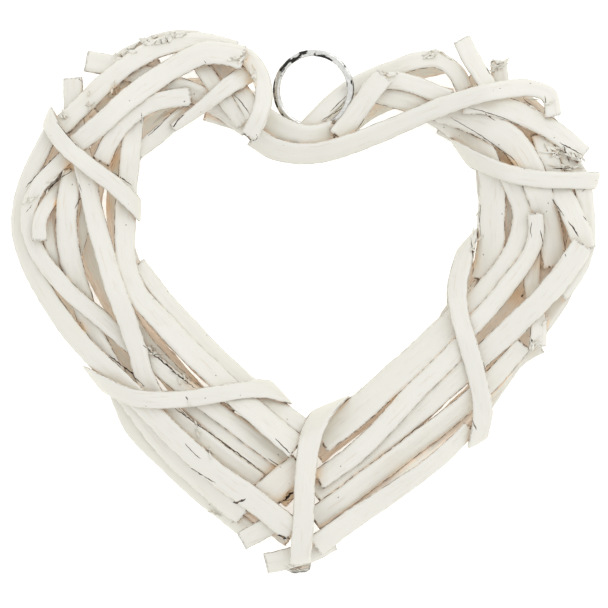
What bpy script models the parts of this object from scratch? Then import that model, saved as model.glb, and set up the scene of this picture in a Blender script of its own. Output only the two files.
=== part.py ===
"""A heart-shaped wreath of split willow canes, white-washed, with a key ring at its notch.

The heart lies on its back.  Every cane is one solid: a half-round strip that follows its own
route in plan and weaves over and under its neighbours.  The heights of all canes are found
together, as springy strips that may touch but not pass through each other.  Five wraps are
then pulled taut round the finished bundle, and the heart rests on their backs.

Axes: +X to the right, +Y up the heart, +Z towards the viewer.  Lengths are in metres.
"""
import math
from collections import namedtuple

import bpy
import numpy as np

# Driving dimensions
HEART_WIDTH = 0.200          # over the outermost canes
CANE_THICKNESS = 0.0024      # of a split cane at its crown
WRAP_THICKNESS = 0.0021      # of the five wraps
CLEARANCE = 0.00035          # kept between any two pieces
HOLLOW_RISE = 0.0052         # how far the front canes bow out over the hollow of a limb
BACK_REACH = 0.0095          # how far the back canes may stand out behind the middle plane
BACK_RISE = 0.0100           # how far the back canes would bow out if nothing stopped them
BEND_LENGTH = 0.0085         # length over which a cane bends to pass over another
PULL_LENGTH = 0.0100         # length over which a cane's tension flattens it
STATION_STEP = 0.0069        # spacing of the cross-sections along a cane
RING_DIAMETER = 0.0275       # outside
RING_WIRE = 0.0023           # thickness of the ring's double wire
RING_SIDES = 28
WRAP_FACETS = 18             # flats round a wrap
WRAP_END_GAP = 0.0014        # between the two butted ends of a wrap, behind
WRAP_SEARCH = 0.004          # how far past its route's ends a wrap reaches round a cane

# The plan is drawn on a grid of 588 squares across the heart, x to the right and y down
GRID_SQUARES = 588
GRID = HEART_WIDTH / GRID_SQUARES
GRID_CENTRE = (304.9, 305.8)

# Middle line of the hollow limb round the heart, with the limb's half width, in grid squares
LIMB = [
    (308, 500, 44), (248, 458, 50), (188, 398, 52), (132, 335, 54), (88, 268, 60), (72, 205, 62),
    (92, 142, 62), (140, 98, 56), (200, 82, 48), (252, 98, 42), (300, 128, 34), (350, 112, 38),
    (410, 92, 44), (470, 100, 52), (522, 140, 56), (540, 205, 58), (522, 268, 58), (478, 330, 54),
    (428, 392, 52), (368, 446, 48),
]

# A cane's route runs through points (x, y, level).  Where two canes cross, the one with the
# higher level lies in front.  Levels below zero are behind the hollow.  Widths are in
# millimetres as seen from the front, one for the whole cane or one for each end.
MM = 0.001
Cane = namedtuple("Cane", "name finish width route")

FRONT_CANES = [
    # Left lobe, crown and outer side
    Cane("left_crown_cane_outer", "white", (5.9, 5.4),
         [(58, 130, 3.4), (76, 112, 3.6), (95, 93, 3.6), (121, 70, 3.6), (138, 58, 3.6),
          (158, 47.5, 3.6), (175, 43, 3.6), (192, 41, 3.6), (214, 44, 3.6), (236, 50, 3.6)]),
    Cane("left_crown_cane_inner", "white", (5.4, 6.6),
         [(74, 147, 4.2), (95, 130, 4.4), (124, 104, 4.4), (145, 87, 4.4), (163, 75, 4.4),
          (184, 62, 4.4), (206, 53, 4.4), (243, 58, 4.4)]),
    Cane("left_rim_cane", "white", (4.8, 7.2),
         [(52, 130, 1.6), (36, 160, 1.6), (23, 195, 1.4), (19, 228, 1.2), (29, 262, 1.2),
          (49, 300, 1.2), (71, 331, 1.4), (97, 360, 1.4), (125, 386, 1.6), (163, 425, 2.4),
          (208, 467, 3.0), (255, 501, 3.2), (293, 531, 3.2)]),
    Cane("left_sweeping_cane", "white", (4.6, 5.6),
         [(66, 157, 1.8), (38, 187, 1.8), (28, 212, 1.8), (35, 247, 2.0), (62, 284, 2.8), (100, 318, 2.8),
          (150, 360, 2.4), (192, 393, 2.2), (240, 428, 2.2), (286, 463, 2.2)]),
    Cane("left_bent_cane", "white", 4.6,
         [(74, 172, 2.2), (61, 187, 2.3), (49, 202, 2.4), (41, 217, 2.4), (40, 240, 2.4)]),
    Cane("left_upright_cane", "white", (5.8, 6.2),
         [(74, 170, 3.0), (67, 205, 3.0), (68, 245, 2.8), (79, 290, 1.8), (98, 345, 1.8),
          (128, 396, 1.6), (160, 440, 1.6), (201, 481, 1.6), (243, 515, 1.6)]),
    Cane("left_slanting_cane", "white", (6.0, 6.2),
         [(72, 78, 2.4), (75, 125, 3.0), (86, 175, 3.4), (97, 225, 3.4), (115, 285, 3.4),
          (137, 348, 3.2), (149, 388, 2.8), (168, 411, 2.6), (200, 438, 2.6), (259, 483, 2.6)]),
    Cane("left_inner_cane", "white", (6.0, 7.6),
         [(135, 112, 1.6), (131, 150, 1.6), (127, 190, 1.6), (125, 220, 1.6), (131, 282, 1.6),
          (171, 331, 2.0), (221, 381, 2.0), (261, 417, 2.0), (297, 447, 2.0)]),
    Cane("left_inner_edge_cane", "grey", (4.8, 5.8),
         [(138, 264, 1.0), (160, 293, 1.0), (197, 335, 1.2), (239, 377, 1.4), (269, 402, 1.6),
          (305, 429, 1.6)]),
    Cane("left_shoulder_cane_inner", "grey", 5.0,
         [(136, 152, 0.8), (158, 135, 0.8), (180, 116, 0.8), (204, 98, 0.8)]),
    Cane("left_shoulder_cane_upper", "white", 5.4,
         [(101, 162, 2.8), (113, 138, 2.8), (128, 118, 2.8), (148, 105, 2.8), (170, 99, 2.6),
          (190, 97, 2.4)]),
    Cane("left_leg_cane_middle", "white", (6.0, 5.2),
         [(186, 400, 1.8), (215, 427, 1.8), (245, 451, 1.8), (275, 472, 1.8)]),
    Cane("left_leg_cane_outer", "white", (4.6, 5.2),
         [(116, 390, 0.8), (130, 424, 0.8), (161, 458, 0.8), (203, 496, 0.8), (250, 533, 0.8)]),
    # Crown canes that run into the notch
    Cane("notch_cane_long", "white", (6.8, 6.6),
         [(86, 60, 1.2), (125, 69, 1.2), (172, 86, 1.2), (203, 97, 1.2), (248, 127, 1.2)]),
    Cane("notch_cane_middle", "white", 4.6,
         [(193, 50, 2.0), (208, 76, 2.0), (227, 102, 2.0), (244, 123, 2.0)]),
    Cane("notch_cane_right", "white", 5.2,
         [(210, 50, 2.6), (229, 75, 2.6), (245, 99, 2.6), (255, 117, 2.6)]),
    Cane("notch_cane_upper", "white", (2.6, 6.4),
         [(173, 128, 3.0), (200, 109, 3.0), (224, 90, 3.0), (250, 72, 3.0)]),
    Cane("neck_tie_cane", "white", 5.4,
         [(226, 50, 3.8), (250, 60, 3.8), (263, 84, 3.8), (262, 110, 3.8), (249, 137, 3.8)]),
    # Neck
    Cane("neck_cane_wide", "white", (7.6, 8.6),
         [(262, 117, 3.2), (275, 127, 3.2), (292, 135, 3.2), (314, 138, 3.2), (334, 134, 3.2)]),
    Cane("neck_cane_slanting", "white", 6.4,
         [(338, 137, 3.6), (352, 119, 3.7), (366, 98, 3.7), (384, 77, 3.7)]),
    Cane("neck_cane_long", "white", (6.6, 5.2),
         [(254, 136, 2.6), (275, 149, 2.8), (305, 154, 4.0), (345, 146, 4.2), (400, 124, 4.2),
          (450, 104, 4.2), (500, 91, 4.2), (532, 89, 3.8), (549, 96, 3.4), (553, 116, 3.0)]),
    Cane("neck_cane_ring", "white", (5.2, 5.4),
         [(299, 137, 1.8), (318, 117, 1.4), (340, 95, 1.2), (365, 80, 1.6), (400, 66, 2.2),
          (436, 59, 2.4), (456, 72, 2.4), (465, 90, 2.2)]),
    Cane("right_crown_cane_inner", "white", 5.6,
         [(374, 82, 3.0), (400, 81, 3.0), (425, 89, 3.0), (450, 99, 3.0)]),
    Cane("right_crown_cane_lower", "white", 6.4,
         [(372, 91, 2.0), (392, 97, 2.0), (412, 103, 2.0), (428, 108, 2.0)]),
    # Right lobe
    Cane("right_crown_cane_stub", "white", 5.6,
         [(462, 39, 3.4), (471, 58, 3.4), (481, 75, 3.4), (490, 91, 3.2)]),
    Cane("right_crown_cane_torn", "white", 5.0,
         [(499, 61, 2.4), (500, 75, 2.4), (503, 90, 2.4)]),
    Cane("right_shoulder_cane_outer", "white", (7.4, 6.2),
         [(464, 102, 2.8), (485, 104, 2.8), (520, 114, 2.8), (553, 131, 2.8), (583, 155, 2.8)]),
    Cane("right_slanting_cane", "white", (8.4, 6.6),
         [(438, 106, 2.4), (456, 112, 2.4), (477, 121, 2.4), (513, 143, 2.4), (535, 182, 2.6),
          (549, 228, 2.8), (556, 266, 2.8)]),
    Cane("right_side_cane", "white", (6.4, 6.8),
         [(541, 133, 2.0), (550, 165, 2.0), (564, 198, 2.0), (577, 226, 2.0), (585, 250, 2.0)]),
    Cane("right_rim_cane", "white", 5.6,
         [(563, 150, 1.4), (581, 181, 1.4), (586, 216, 1.4), (585, 248, 1.2), (577, 271, 1.0),
          (560, 294, 1.0)]),
    Cane("right_inner_cane", "white", (7.4, 8.8),
         [(434, 112, 1.6), (458, 128, 1.6), (480, 148, 1.6), (491, 174, 1.6), (492, 208, 1.6),
          (491, 245, 1.6), (486, 280, 1.4)]),
    Cane("right_lobe_cane_crossing", "white", 5.9,
         [(507, 172, 3.0), (514, 187, 3.0), (521, 204, 3.0), (523, 220, 3.0), (520, 237, 3.0),
          (512, 255, 3.0), (497, 276, 3.0), (478, 298, 3.0), (459, 314, 2.8)]),
    Cane("right_lobe_cane_bowed", "white", (4.2, 5.2),
         [(535, 214, 3.4), (536, 232, 3.4), (529, 256, 3.4), (512, 279, 3.4), (492, 305, 3.4),
          (467, 330, 3.2)]),
    Cane("right_lobe_cane_lower", "white", 4.2,
         [(537, 240, 1.6), (533, 262, 1.6), (532, 288, 1.4), (538, 315, 1.4), (538, 346, 1.4)]),
    # Right leg
    Cane("right_long_cane", "white", (7.0, 7.0),
         [(582, 245, 3.6), (570, 264, 3.8), (545, 295, 3.6), (510, 330, 3.4), (468, 368, 3.2),
          (424, 407, 2.8), (374, 449, 2.8), (315, 494, 2.8)]),
    Cane("right_leg_cane_inner", "white", (8.6, 9.2),
         [(460, 318, 2.2), (420, 355, 2.2), (385, 387, 2.2), (351, 416, 2.4), (320, 440, 2.6)]),
    Cane("right_leg_cane_second", "white", (5.8, 6.0),
         [(463, 344, 3.0), (437, 370, 3.0), (409, 398, 3.0), (380, 430, 3.0), (352, 456, 3.0),
          (318, 480, 3.0)]),
    Cane("right_leg_cane_fourth", "white", (4.6, 6.0),
         [(523, 344, 2.0), (504, 367, 2.0), (474, 397, 2.0), (448, 419, 2.0), (402, 454, 2.0),
          (364, 483, 2.0), (314, 520, 2.0)]),
    Cane("right_leg_cane_outer", "white", (4.4, 6.6),
         [(470, 428, 1.0), (456, 443, 1.0), (411, 480, 1.2), (365, 511, 1.4), (315, 546, 1.4)]),
    # Tip
    Cane("tip_cane_left", "white", 6.0,
         [(242, 541, 2.6), (262, 530, 2.6), (284, 517, 2.4)]),
    Cane("tip_cane_upper", "white", (9.4, 7.2),
         [(263, 497, 3.0), (272, 489, 3.0), (286, 476, 3.0), (300, 464, 3.0)]),
    Cane("tip_cane_bottom", "white", 6.6,
         [(266, 564, 0.8), (290, 559, 0.8), (314, 551, 0.8), (332, 541, 0.8)]),
]

BACK_CANES = [
    Cane("back_left_cane_outer", "bare", 8.8,
         [(84, 112, -1.5), (54, 158, -1.5), (42, 212, -1.5), (50, 264, -1.5), (88, 325, -1.5),
          (140, 387, -1.5), (196, 451, -1.5), (252, 506, -1.5), (292, 536, -1.5)]),
    Cane("back_left_cane_middle", "bare", 9.8,
         [(262, 110, -2.2), (222, 92, -2.2), (176, 94, -2.2), (130, 120, -2.2), (97, 161, -2.2),
          (86, 212, -2.2), (101, 275, -2.2), (144, 341, -2.2), (194, 398, -2.2), (245, 449, -2.2),
          (295, 498, -2.2)]),
    Cane("back_left_cane_inner", "bare", 8.6,
         [(178, 110, -1.2), (140, 136, -1.2), (120, 182, -1.2), (120, 236, -1.2), (141, 293, -1.2),
          (184, 346, -1.2), (232, 390, -1.2), (296, 437, -1.2)]),
    Cane("back_neck_cane_upper", "grey", 6.6,
         [(208, 67, -1.0), (230, 82, -1.0), (256, 108, -1.0), (286, 130, -1.0), (324, 128, -1.0),
          (362, 100, -1.0), (402, 74, -1.0), (446, 62, -1.0)]),
    Cane("back_neck_cane_lower", "bare", 7.0,
         [(206, 110, -1.8), (246, 124, -1.8), (290, 149, -1.8), (330, 138, -1.8), (372, 107, -1.8),
          (414, 92, -1.8), (452, 97, -1.8)]),
    Cane("back_right_cane_outer", "bare", (8.8, 9.8),
         [(470, 76, -1.4), (514, 99, -1.4), (552, 133, -1.4), (571, 176, -1.4), (578, 230, -1.4),
          (562, 285, -1.4), (524, 341, -1.4), (479, 395, -1.4), (424, 446, -1.4), (364, 491, -1.4),
          (318, 526, -1.4)]),
    Cane("back_right_cane_middle", "bare", 10.4,
         [(458, 92, -2.2), (500, 114, -2.2), (534, 154, -2.2), (544, 205, -2.2), (537, 258, -2.2),
          (510, 306, -2.2), (466, 358, -2.2), (415, 414, -2.2), (362, 459, -2.2), (317, 497, -2.2)]),
    Cane("back_right_cane_inner", "bare", (8.0, 9.4),
         [(478, 136, -1.2), (486, 156, -1.2), (489, 188, -1.2), (496, 226, -1.2), (488, 262, -1.2),
          (466, 300, -1.2), (434, 345, -1.2), (386, 396, -1.2), (315, 453, -1.2)]),
    Cane("back_left_cane_crossing", "bare", 7.2,
         [(134, 80, -3.0), (104, 104, -3.0), (72, 144, -3.0), (62, 200, -3.0), (88, 260, -3.0),
          (112, 304, -3.0)]),
    Cane("back_right_cane_crossing", "bare", 6.8,
         [(474, 128, -3.0), (504, 152, -3.0), (556, 200, -3.0), (566, 250, -3.0), (532, 296, -3.0),
          (486, 330, -3.0)]),
]

# A wrap runs in front of everything along its route (x, y) and straight back behind it.  Its
# leans say how far its left edge lies ahead of its right one where it turns back at its start
# and at its end, as shares of its width.  There it follows the canes that it rounds.
Wrap = namedtuple("Wrap", "name width leans route")

WRAPS = [
    Wrap("left_lobe_wrap", 6.0, (-0.3, -0.8),
         [(48, 118), (61, 141), (84, 162), (104, 177), (119, 189), (130, 200)]),
    Wrap("left_leg_wrap", 6.0, (-1.1, -1.1),
         [(108, 386), (135, 398), (165, 400), (200, 397), (232, 391), (262, 388), (284, 394)]),
    Wrap("tip_wrap", 7.3, (-1.0, -0.5),
         [(341, 393), (325, 410), (312, 432), (306, 465), (304, 510), (300, 572)]),
    Wrap("right_leg_wrap", 6.6, (-1.0, -0.3),
         [(465, 257), (464, 263), (460, 275), (457, 292), (459, 314), (468, 345), (477, 375),
          (482, 402), (483, 414), (481, 425)]),
    Wrap("right_lobe_wrap", 6.0, (-1.2, -0.1),
         [(476, 160), (490, 167), (504, 173), (530, 178.5), (596, 180)]),
]

# The ring is threaded on neck_cane_ring: it dips under the neck canes at its foot, given in
# grid squares, and lies over them at its right.  The canes bend to make room for it.
RING_NAME = "hanging_ring"
RING_FOOT = (313.5, 127.0)
RING_FOOT_HEIGHT = 0.0010              # above the middle plane
RING_TILT = (0.22, 0.22)               # rise to the right and to the top, for each unit
RING_LOW_LEVEL = 0.6
RING_HIGH_LEVEL = 6.0
RING_DIP_ANGLE = math.radians(62)      # each side of the foot where the ring stays low

# A cane's cross-section, as shares of its width and thickness: flat inside, round outside
HALF_ROUND = [(-0.5, -0.5), (0.5, -0.5), (0.5, 0.05), (0.27, 0.5), (-0.27, 0.5), (-0.5, 0.05)]
FLAT_EDGES = [(0, 1)]
ROUND_EDGES = [(2, 3), (3, 4), (4, 5)]
BOX = [(-0.5, -0.5), (0.5, -0.5), (0.5, 0.5), (-0.5, 0.5)]
WIRE_SECTION = [(0.5 * math.cos(a), 0.5 * math.sin(a)) for a in np.arange(8) * math.pi / 4]

# Colour, roughness and metallic value of each finish
FINISHES = {
    "white": ((0.83, 0.81, 0.76, 1.0), 0.62, 0.0),
    "grey": ((0.66, 0.65, 0.58, 1.0), 0.70, 0.0),
    "bare": ((0.50, 0.37, 0.26, 1.0), 0.75, 0.0),
    "metal": ((0.72, 0.72, 0.70, 1.0), 0.25, 1.0),
}

# A strip laid out in plan, ready to be given heights.  Arrays hold one row for each station.
Strip = namedtuple("Strip", "name finish plan side width thickness roll level target section"
                            " upper lower outline closed fixed")


def to_plan(points):
    """Grid squares to metres."""
    points = np.asarray(points, float)
    x = (points[:, 0] - GRID_CENTRE[0]) * GRID
    y = (GRID_CENTRE[1] - points[:, 1]) * GRID
    return np.column_stack((x, y))


def smooth_curve(points, samples_each=24, closed=False):
    """A smooth curve through the rows of points, whose first two columns are the plan."""
    points = np.asarray(points, float)
    if closed:
        points = np.vstack((points[-2:], points, points[:3]))
    gaps = np.linalg.norm(np.diff(points[:, :2], axis=0), axis=1)
    knots = np.concatenate(([0.0], np.cumsum(gaps)))
    slopes = np.gradient(points, knots, axis=0)
    first, last = (2, len(points) - 3) if closed else (0, len(points) - 1)
    curve = []
    for i in range(first, last):
        for t in np.arange(samples_each) / samples_each:
            curve.append((2 * t**3 - 3 * t**2 + 1) * points[i]
                         + (t**3 - 2 * t**2 + t) * gaps[i] * slopes[i]
                         + (3 * t**2 - 2 * t**3) * points[i + 1]
                         + (t**3 - t**2) * gaps[i] * slopes[i + 1])
    if not closed:
        curve.append(points[last])
    return np.array(curve)


def resample(curve, step):
    """Rows of curve at equal distances in plan, close to step apart."""
    gaps = np.linalg.norm(np.diff(curve[:, :2], axis=0), axis=1)
    along = np.concatenate(([0.0], np.cumsum(gaps)))
    count = max(4, int(round(along[-1] / step)) + 1)
    places = np.linspace(0.0, along[-1], count)
    return np.column_stack([np.interp(places, along, column) for column in curve.T])


def limb_line():
    """The limb's middle line in metres, with its half width as a third column."""
    plan = to_plan(LIMB)
    half = np.array([row[2] for row in LIMB]) * GRID
    return smooth_curve(np.column_stack((plan, half)), closed=True)


def bow(plan, line):
    """How far out the limb's hollow stands at each place, from 0 to 1, and its slope."""
    offset = plan[:, None, :] - line[None, :, :2]
    distance = np.linalg.norm(offset, axis=2)
    nearest = distance.argmin(axis=1)
    rows = np.arange(len(plan))
    half = line[nearest, 2]
    share = np.minimum(distance[rows, nearest] / half, 1.0)
    outward = offset[rows, nearest] / half[:, None]
    return 1.0 - share**2, -2.0 * outward / half[:, None]


def lay_out_cane(cane, line):
    """One cane's stations in plan, with its roll and the height it would spring to."""
    plan = to_plan(cane.route)
    levels = np.array([point[2] for point in cane.route])
    stations = resample(smooth_curve(np.column_stack((plan, levels))), STATION_STEP)
    plan, level = stations[:, :2], stations[:, 2]
    along = np.gradient(plan, axis=0)
    along /= np.linalg.norm(along, axis=1)[:, None]
    side = np.column_stack((-along[:, 1], along[:, 0]))
    ends = np.atleast_1d(cane.width)
    width = np.linspace(ends[0], ends[-1], len(plan)) * MM
    height, slope = bow(plan, line)
    front = level.mean() > 0
    rise = HOLLOW_RISE if front else -BACK_RISE
    depth = np.clip(np.abs(level), 0.0, 1.0) * rise
    roll = np.einsum("ij,ij->i", slope, side) * depth
    roll = np.convolve(np.pad(roll, 1, mode="edge"), (0.25, 0.5, 0.25), mode="valid")
    section = HALF_ROUND if front else [(across, -up) for across, up in HALF_ROUND]
    upper, lower = (ROUND_EDGES, FLAT_EDGES) if front else (FLAT_EDGES, ROUND_EDGES)
    thickness = CANE_THICKNESS * np.sqrt(1.0 + roll**2)
    return Strip(cane.name, cane.finish, plan, side, width, thickness, roll, level,
                 height * depth, section, upper, lower, section, False, None)


def lay_out_ring():
    """The ring as a round strip in plan, low at its foot and high at its sides."""
    radius = (RING_DIAMETER - RING_WIRE) / 2
    foot = to_plan([RING_FOOT])[0]
    angle = np.arange(RING_SIDES) * 2 * math.pi / RING_SIDES - math.pi / 2
    side = np.column_stack((np.cos(angle), np.sin(angle)))
    plan = foot + (0.0, radius) + radius * side
    from_foot = np.abs((angle + math.pi / 2 + math.pi) % (2 * math.pi) - math.pi)
    level = np.where(from_foot < RING_DIP_ANGLE, RING_LOW_LEVEL, RING_HIGH_LEVEL)
    wire = np.full(RING_SIDES, RING_WIRE)
    height = RING_FOOT_HEIGHT + (plan - foot) @ np.array(RING_TILT)
    return Strip(RING_NAME, "metal", plan, side, wire, wire, np.zeros(RING_SIDES), level,
                 height, BOX, [(2, 3)], [(0, 1)], WIRE_SECTION, True, height)


def cells_of(strips):
    """Every stretch between two stations: its strip, its stations and its plan box."""
    cells = []
    start = 0
    for number, strip in enumerate(strips):
        count = len(strip.plan)
        for i in range(count if strip.closed else count - 1):
            j = (i + 1) % count
            half = strip.width[[i, j], None] / 2
            corners = np.vstack((strip.plan[[i, j]] + strip.side[[i, j]] * half,
                                 strip.plan[[i, j]] - strip.side[[i, j]] * half))
            cells.append((number, i, j, start, corners.min(axis=0), corners.max(axis=0)))
        start += count
    return cells


def cell_faces(strips, cell, edges):
    """Triangles over or under one cell: station numbers, plan places and height offsets."""
    number, i, j, start, _, _ = cell
    strip = strips[number]
    faces = []
    for a, b in edges:
        for corners in (((i, a), (i, b), (j, b)), ((i, a), (j, b), (j, a))):
            face = []
            for station, k in corners:
                across, up = strip.section[k]
                lateral = across * strip.width[station]
                x, y = strip.plan[station] + strip.side[station] * lateral
                lift = strip.roll[station] * lateral + up * strip.thickness[station]
                face.append((start + station, x, y, lift))
            faces.append(face)
    return np.array(faces)


def crossing_runs(strips, cells):
    """Pairs of cells that overlap in plan, with the one in front first."""
    low = np.array([cell[4] for cell in cells])
    high = np.array([cell[5] for cell in cells])
    owner = np.array([cell[0] for cell in cells])
    level = np.array([strips[c[0]].level[[c[1], c[2]]].mean() for c in cells])
    overlap = np.all((low[:, None] < high[None]) & (low[None] < high[:, None]), axis=2)
    overlap &= owner[:, None] < owner[None]
    quads = np.array([cell_quad(strips, cell) for cell in cells])
    pairs = np.argwhere(overlap)
    pairs = pairs[quads_meet(quads[pairs[:, 0]], quads[pairs[:, 1]])]
    groups = {}
    for a, b in pairs.tolist():
        runs = groups.setdefault((owner[a], owner[b]), [])
        joined = [run for run in runs if any(abs(a - c) <= 1 and abs(b - d) <= 1 for c, d in run)]
        for run in joined:
            runs.remove(run)
        runs.append([pair for run in joined for pair in run] + [(a, b)])
    ordered = []
    for runs in groups.values():
        for run in runs:
            lead = sum(level[a] - level[b] for a, b in run)
            ordered += [(a, b) if lead >= 0 else (b, a) for a, b in run]
    return ordered


def cell_quad(strips, cell):
    """The four corners of a cell in plan, in turn."""
    strip, i, j = strips[cell[0]], cell[1], cell[2]
    reach = strip.side * strip.width[:, None] / 2
    return (strip.plan[i] + reach[i], strip.plan[i] - reach[i],
            strip.plan[j] - reach[j], strip.plan[j] + reach[j])


def quads_meet(first, second):
    """Whether each quad of first overlaps its partner, by looking for a line between them."""
    meet = np.ones(len(first), bool)
    for quads in (first, second):
        edges = np.roll(quads, -1, axis=1) - quads
        normals = np.stack((-edges[..., 1], edges[..., 0]), axis=-1)
        reach_a = np.einsum("nkc,nmc->nkm", normals, first)
        reach_b = np.einsum("nkc,nmc->nkm", normals, second)
        apart = (reach_a.max(2) <= reach_b.min(2)) | (reach_b.max(2) <= reach_a.min(2))
        meet &= ~apart.any(axis=1)
    return meet


def cross(u, v):
    return u[..., 0] * v[..., 1] - u[..., 1] * v[..., 0]


def weights_in(triangle, point):
    """Shares of a triangle's corners that make up each point of the plan."""
    a, b, c = (triangle[:, None, k] for k in range(3))
    whole = cross(b - a, c - a)
    second = cross(point - a, c - a) / whole
    third = cross(b - a, point - a) / whole
    return np.stack((1.0 - second - third, second, third), axis=-1)


def contact_rows(strips, cells):
    """One row for each place where one cane lies on another.

    A row says that a share-weighted sum of station heights is at least a given gap.
    """
    upper, lower = [], []
    under_faces, over_faces = {}, {}
    for a, b in crossing_runs(strips, cells):
        if a not in under_faces:
            under_faces[a] = cell_faces(strips, cells[a], strips[cells[a][0]].lower)
        if b not in over_faces:
            over_faces[b] = cell_faces(strips, cells[b], strips[cells[b][0]].upper)
        front, behind = under_faces[a], over_faces[b]
        upper.append(np.repeat(front, len(behind), axis=0))
        lower.append(np.tile(behind, (len(front), 1, 1)))
    upper, lower = np.concatenate(upper), np.concatenate(lower)
    p, q = upper[..., 1:3], lower[..., 1:3]
    near = np.all((p.min(axis=1) < q.max(axis=1)) & (q.min(axis=1) < p.max(axis=1)), axis=1)
    upper, lower, p, q = upper[near], lower[near], p[near], q[near]
    edge_p = np.roll(p, -1, axis=1) - p
    edge_q = np.roll(q, -1, axis=1) - q
    turn = cross(edge_p[:, :, None], edge_q[:, None])
    turn = np.where(np.abs(turn) < 1e-14, np.inf, turn)
    apart = q[:, None] - p[:, :, None]
    reach = cross(apart, edge_q[:, None]) / turn
    meets = p[:, :, None] + reach[..., None] * edge_p[:, :, None]
    places = np.concatenate((p, q, meets.reshape(len(p), 9, 2)), axis=1)
    share_p, share_q = weights_in(p, places), weights_in(q, places)
    slack = 1e-7
    inside = np.all(share_p > -slack, axis=2) & np.all(share_q > -slack, axis=2)
    which, corner = np.nonzero(inside)
    share_p, share_q = share_p[which, corner], share_q[which, corner]
    stations = np.hstack((upper[which, :, 0], lower[which, :, 0])).astype(int)
    shares = np.hstack((share_p, -share_q))
    lift = (share_p * upper[which, :, 3]).sum(axis=1) - (share_q * lower[which, :, 3]).sum(axis=1)
    return stations, shares, CLEARANCE - lift


def floor_rows(strips):
    """Rows that keep every corner of every station above the back plane."""
    stations, gaps = [], []
    start = 0
    for strip in strips:
        for across, up in strip.section:
            lift = across * strip.width * strip.roll + up * strip.thickness
            stations.append(start + np.arange(len(strip.plan)))
            gaps.append(-BACK_REACH - lift)
        start += len(strip.plan)
    stations, gaps = np.concatenate(stations), np.concatenate(gaps)
    padded = np.repeat(stations[:, None], 6, axis=1)
    shares = np.zeros((len(stations), 6))
    shares[:, 0] = 1.0
    return padded, shares, gaps


def stiffness(strips):
    """Quadratic cost of bending the strips and of pulling them off their springs."""
    total = sum(len(strip.plan) for strip in strips)
    matrix, pull = np.zeros((total, total)), np.zeros(total)
    start = 0
    for strip in strips:
        count = len(strip.plan)
        step = np.linalg.norm(strip.plan[1] - strip.plan[0])
        rows = np.arange(start, start + count)
        matrix[rows, rows] += step
        pull[rows] += step * strip.target
        if strip.fixed is None:
            slope = np.diff(np.eye(count), axis=0)
            bend = np.diff(slope, axis=0)
            matrix[np.ix_(rows, rows)] += slope.T @ slope * PULL_LENGTH**2 / step
            matrix[np.ix_(rows, rows)] += bend.T @ bend * BEND_LENGTH**4 / step**3
        start += count
    return matrix, pull


def settle(strips):
    """Heights of all stations: least bending, with no strip passing into another."""
    cells = cells_of(strips)
    rows = [np.concatenate(parts) for parts in zip(contact_rows(strips, cells), floor_rows(strips))]
    stations, shares, gaps = rows
    known = np.concatenate([np.full(len(s.plan), s.fixed is not None) for s in strips])
    given = np.concatenate([s.target for s in strips])
    gaps = gaps - (given[stations] * shares * known[stations]).sum(axis=1)
    shares = shares * ~known[stations]
    matrix, pull = stiffness(strips)
    total = len(matrix)
    heights = np.linalg.solve(matrix, pull)

    def shortfall(values):
        return gaps - (values[stations] * shares).sum(axis=1)

    def cost(values, push):
        short = np.maximum(shortfall(values), 0.0)
        return 0.5 * values @ matrix @ values - pull @ values + 0.5 * push * (short**2).sum()

    for push in (1.0, 30.0, 1000.0, 30000.0):
        for _ in range(40):
            short = shortfall(heights)
            active = short > 0
            s, w, miss = stations[active], shares[active], short[active]
            index = s[:, :, None] * total + s[:, None, :]
            weight = w[:, :, None] * w[:, None, :]
            contact = np.bincount(index.ravel(), weight.ravel(), total * total)
            force = np.bincount(s.ravel(), (w * miss[:, None]).ravel(), total)
            curved = matrix + push * contact.reshape(total, total)
            slope = matrix @ heights - pull - push * force
            move = -np.linalg.solve(curved, slope)
            before, stride = cost(heights, push), 1.0
            while cost(heights + stride * move, push) > before and stride > 1e-3:
                stride /= 2
            heights = heights + stride * move
            if np.abs(move).max() * stride < 1e-7:
                break
    starts = np.cumsum([0] + [len(strip.plan) for strip in strips])
    return [heights[a:b] for a, b in zip(starts, starts[1:])]


def strip_mesh(strip, height):
    """Corners and faces of a strip with known heights."""
    count, sides = len(strip.plan), len(strip.outline)
    corners = []
    for i in range(count):
        for across, up in strip.outline:
            lateral = across * strip.width[i]
            x, y = strip.plan[i] + strip.side[i] * lateral
            z = height[i] + strip.roll[i] * lateral + up * strip.thickness[i]
            corners.append((x, y, z))
    faces = side_faces(count, sides, strip.closed)
    if not strip.closed:
        faces += end_faces(count, sides)
    return np.array(corners), faces


def side_faces(count, sides, closed):
    faces = []
    for i in range(count if closed else count - 1):
        j = (i + 1) % count
        for k in range(sides):
            m = (k + 1) % sides
            a, b, c, d = i * sides + k, i * sides + m, j * sides + m, j * sides + k
            faces += [(a, b, c), (a, c, d)]
    return faces


def end_faces(count, sides):
    last = (count - 1) * sides
    return [tuple(range(sides))[::-1], tuple(range(last, last + sides))]


def edge_samples(corners, faces, spacing=0.0007):
    """Points along every edge of a mesh."""
    pairs = {tuple(sorted((face[k], face[k - 1]))) for face in faces for k in range(len(face))}
    pairs = np.array(sorted(pairs))
    start, run = corners[pairs[:, 0]], corners[pairs[:, 1]] - corners[pairs[:, 0]]
    steps = int(np.linalg.norm(run, axis=1).max() / spacing) + 1
    shares = np.linspace(0.0, 1.0, steps + 1)
    return (start[:, None] + shares[None, :, None] * run[:, None]).reshape(-1, 3)


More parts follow.
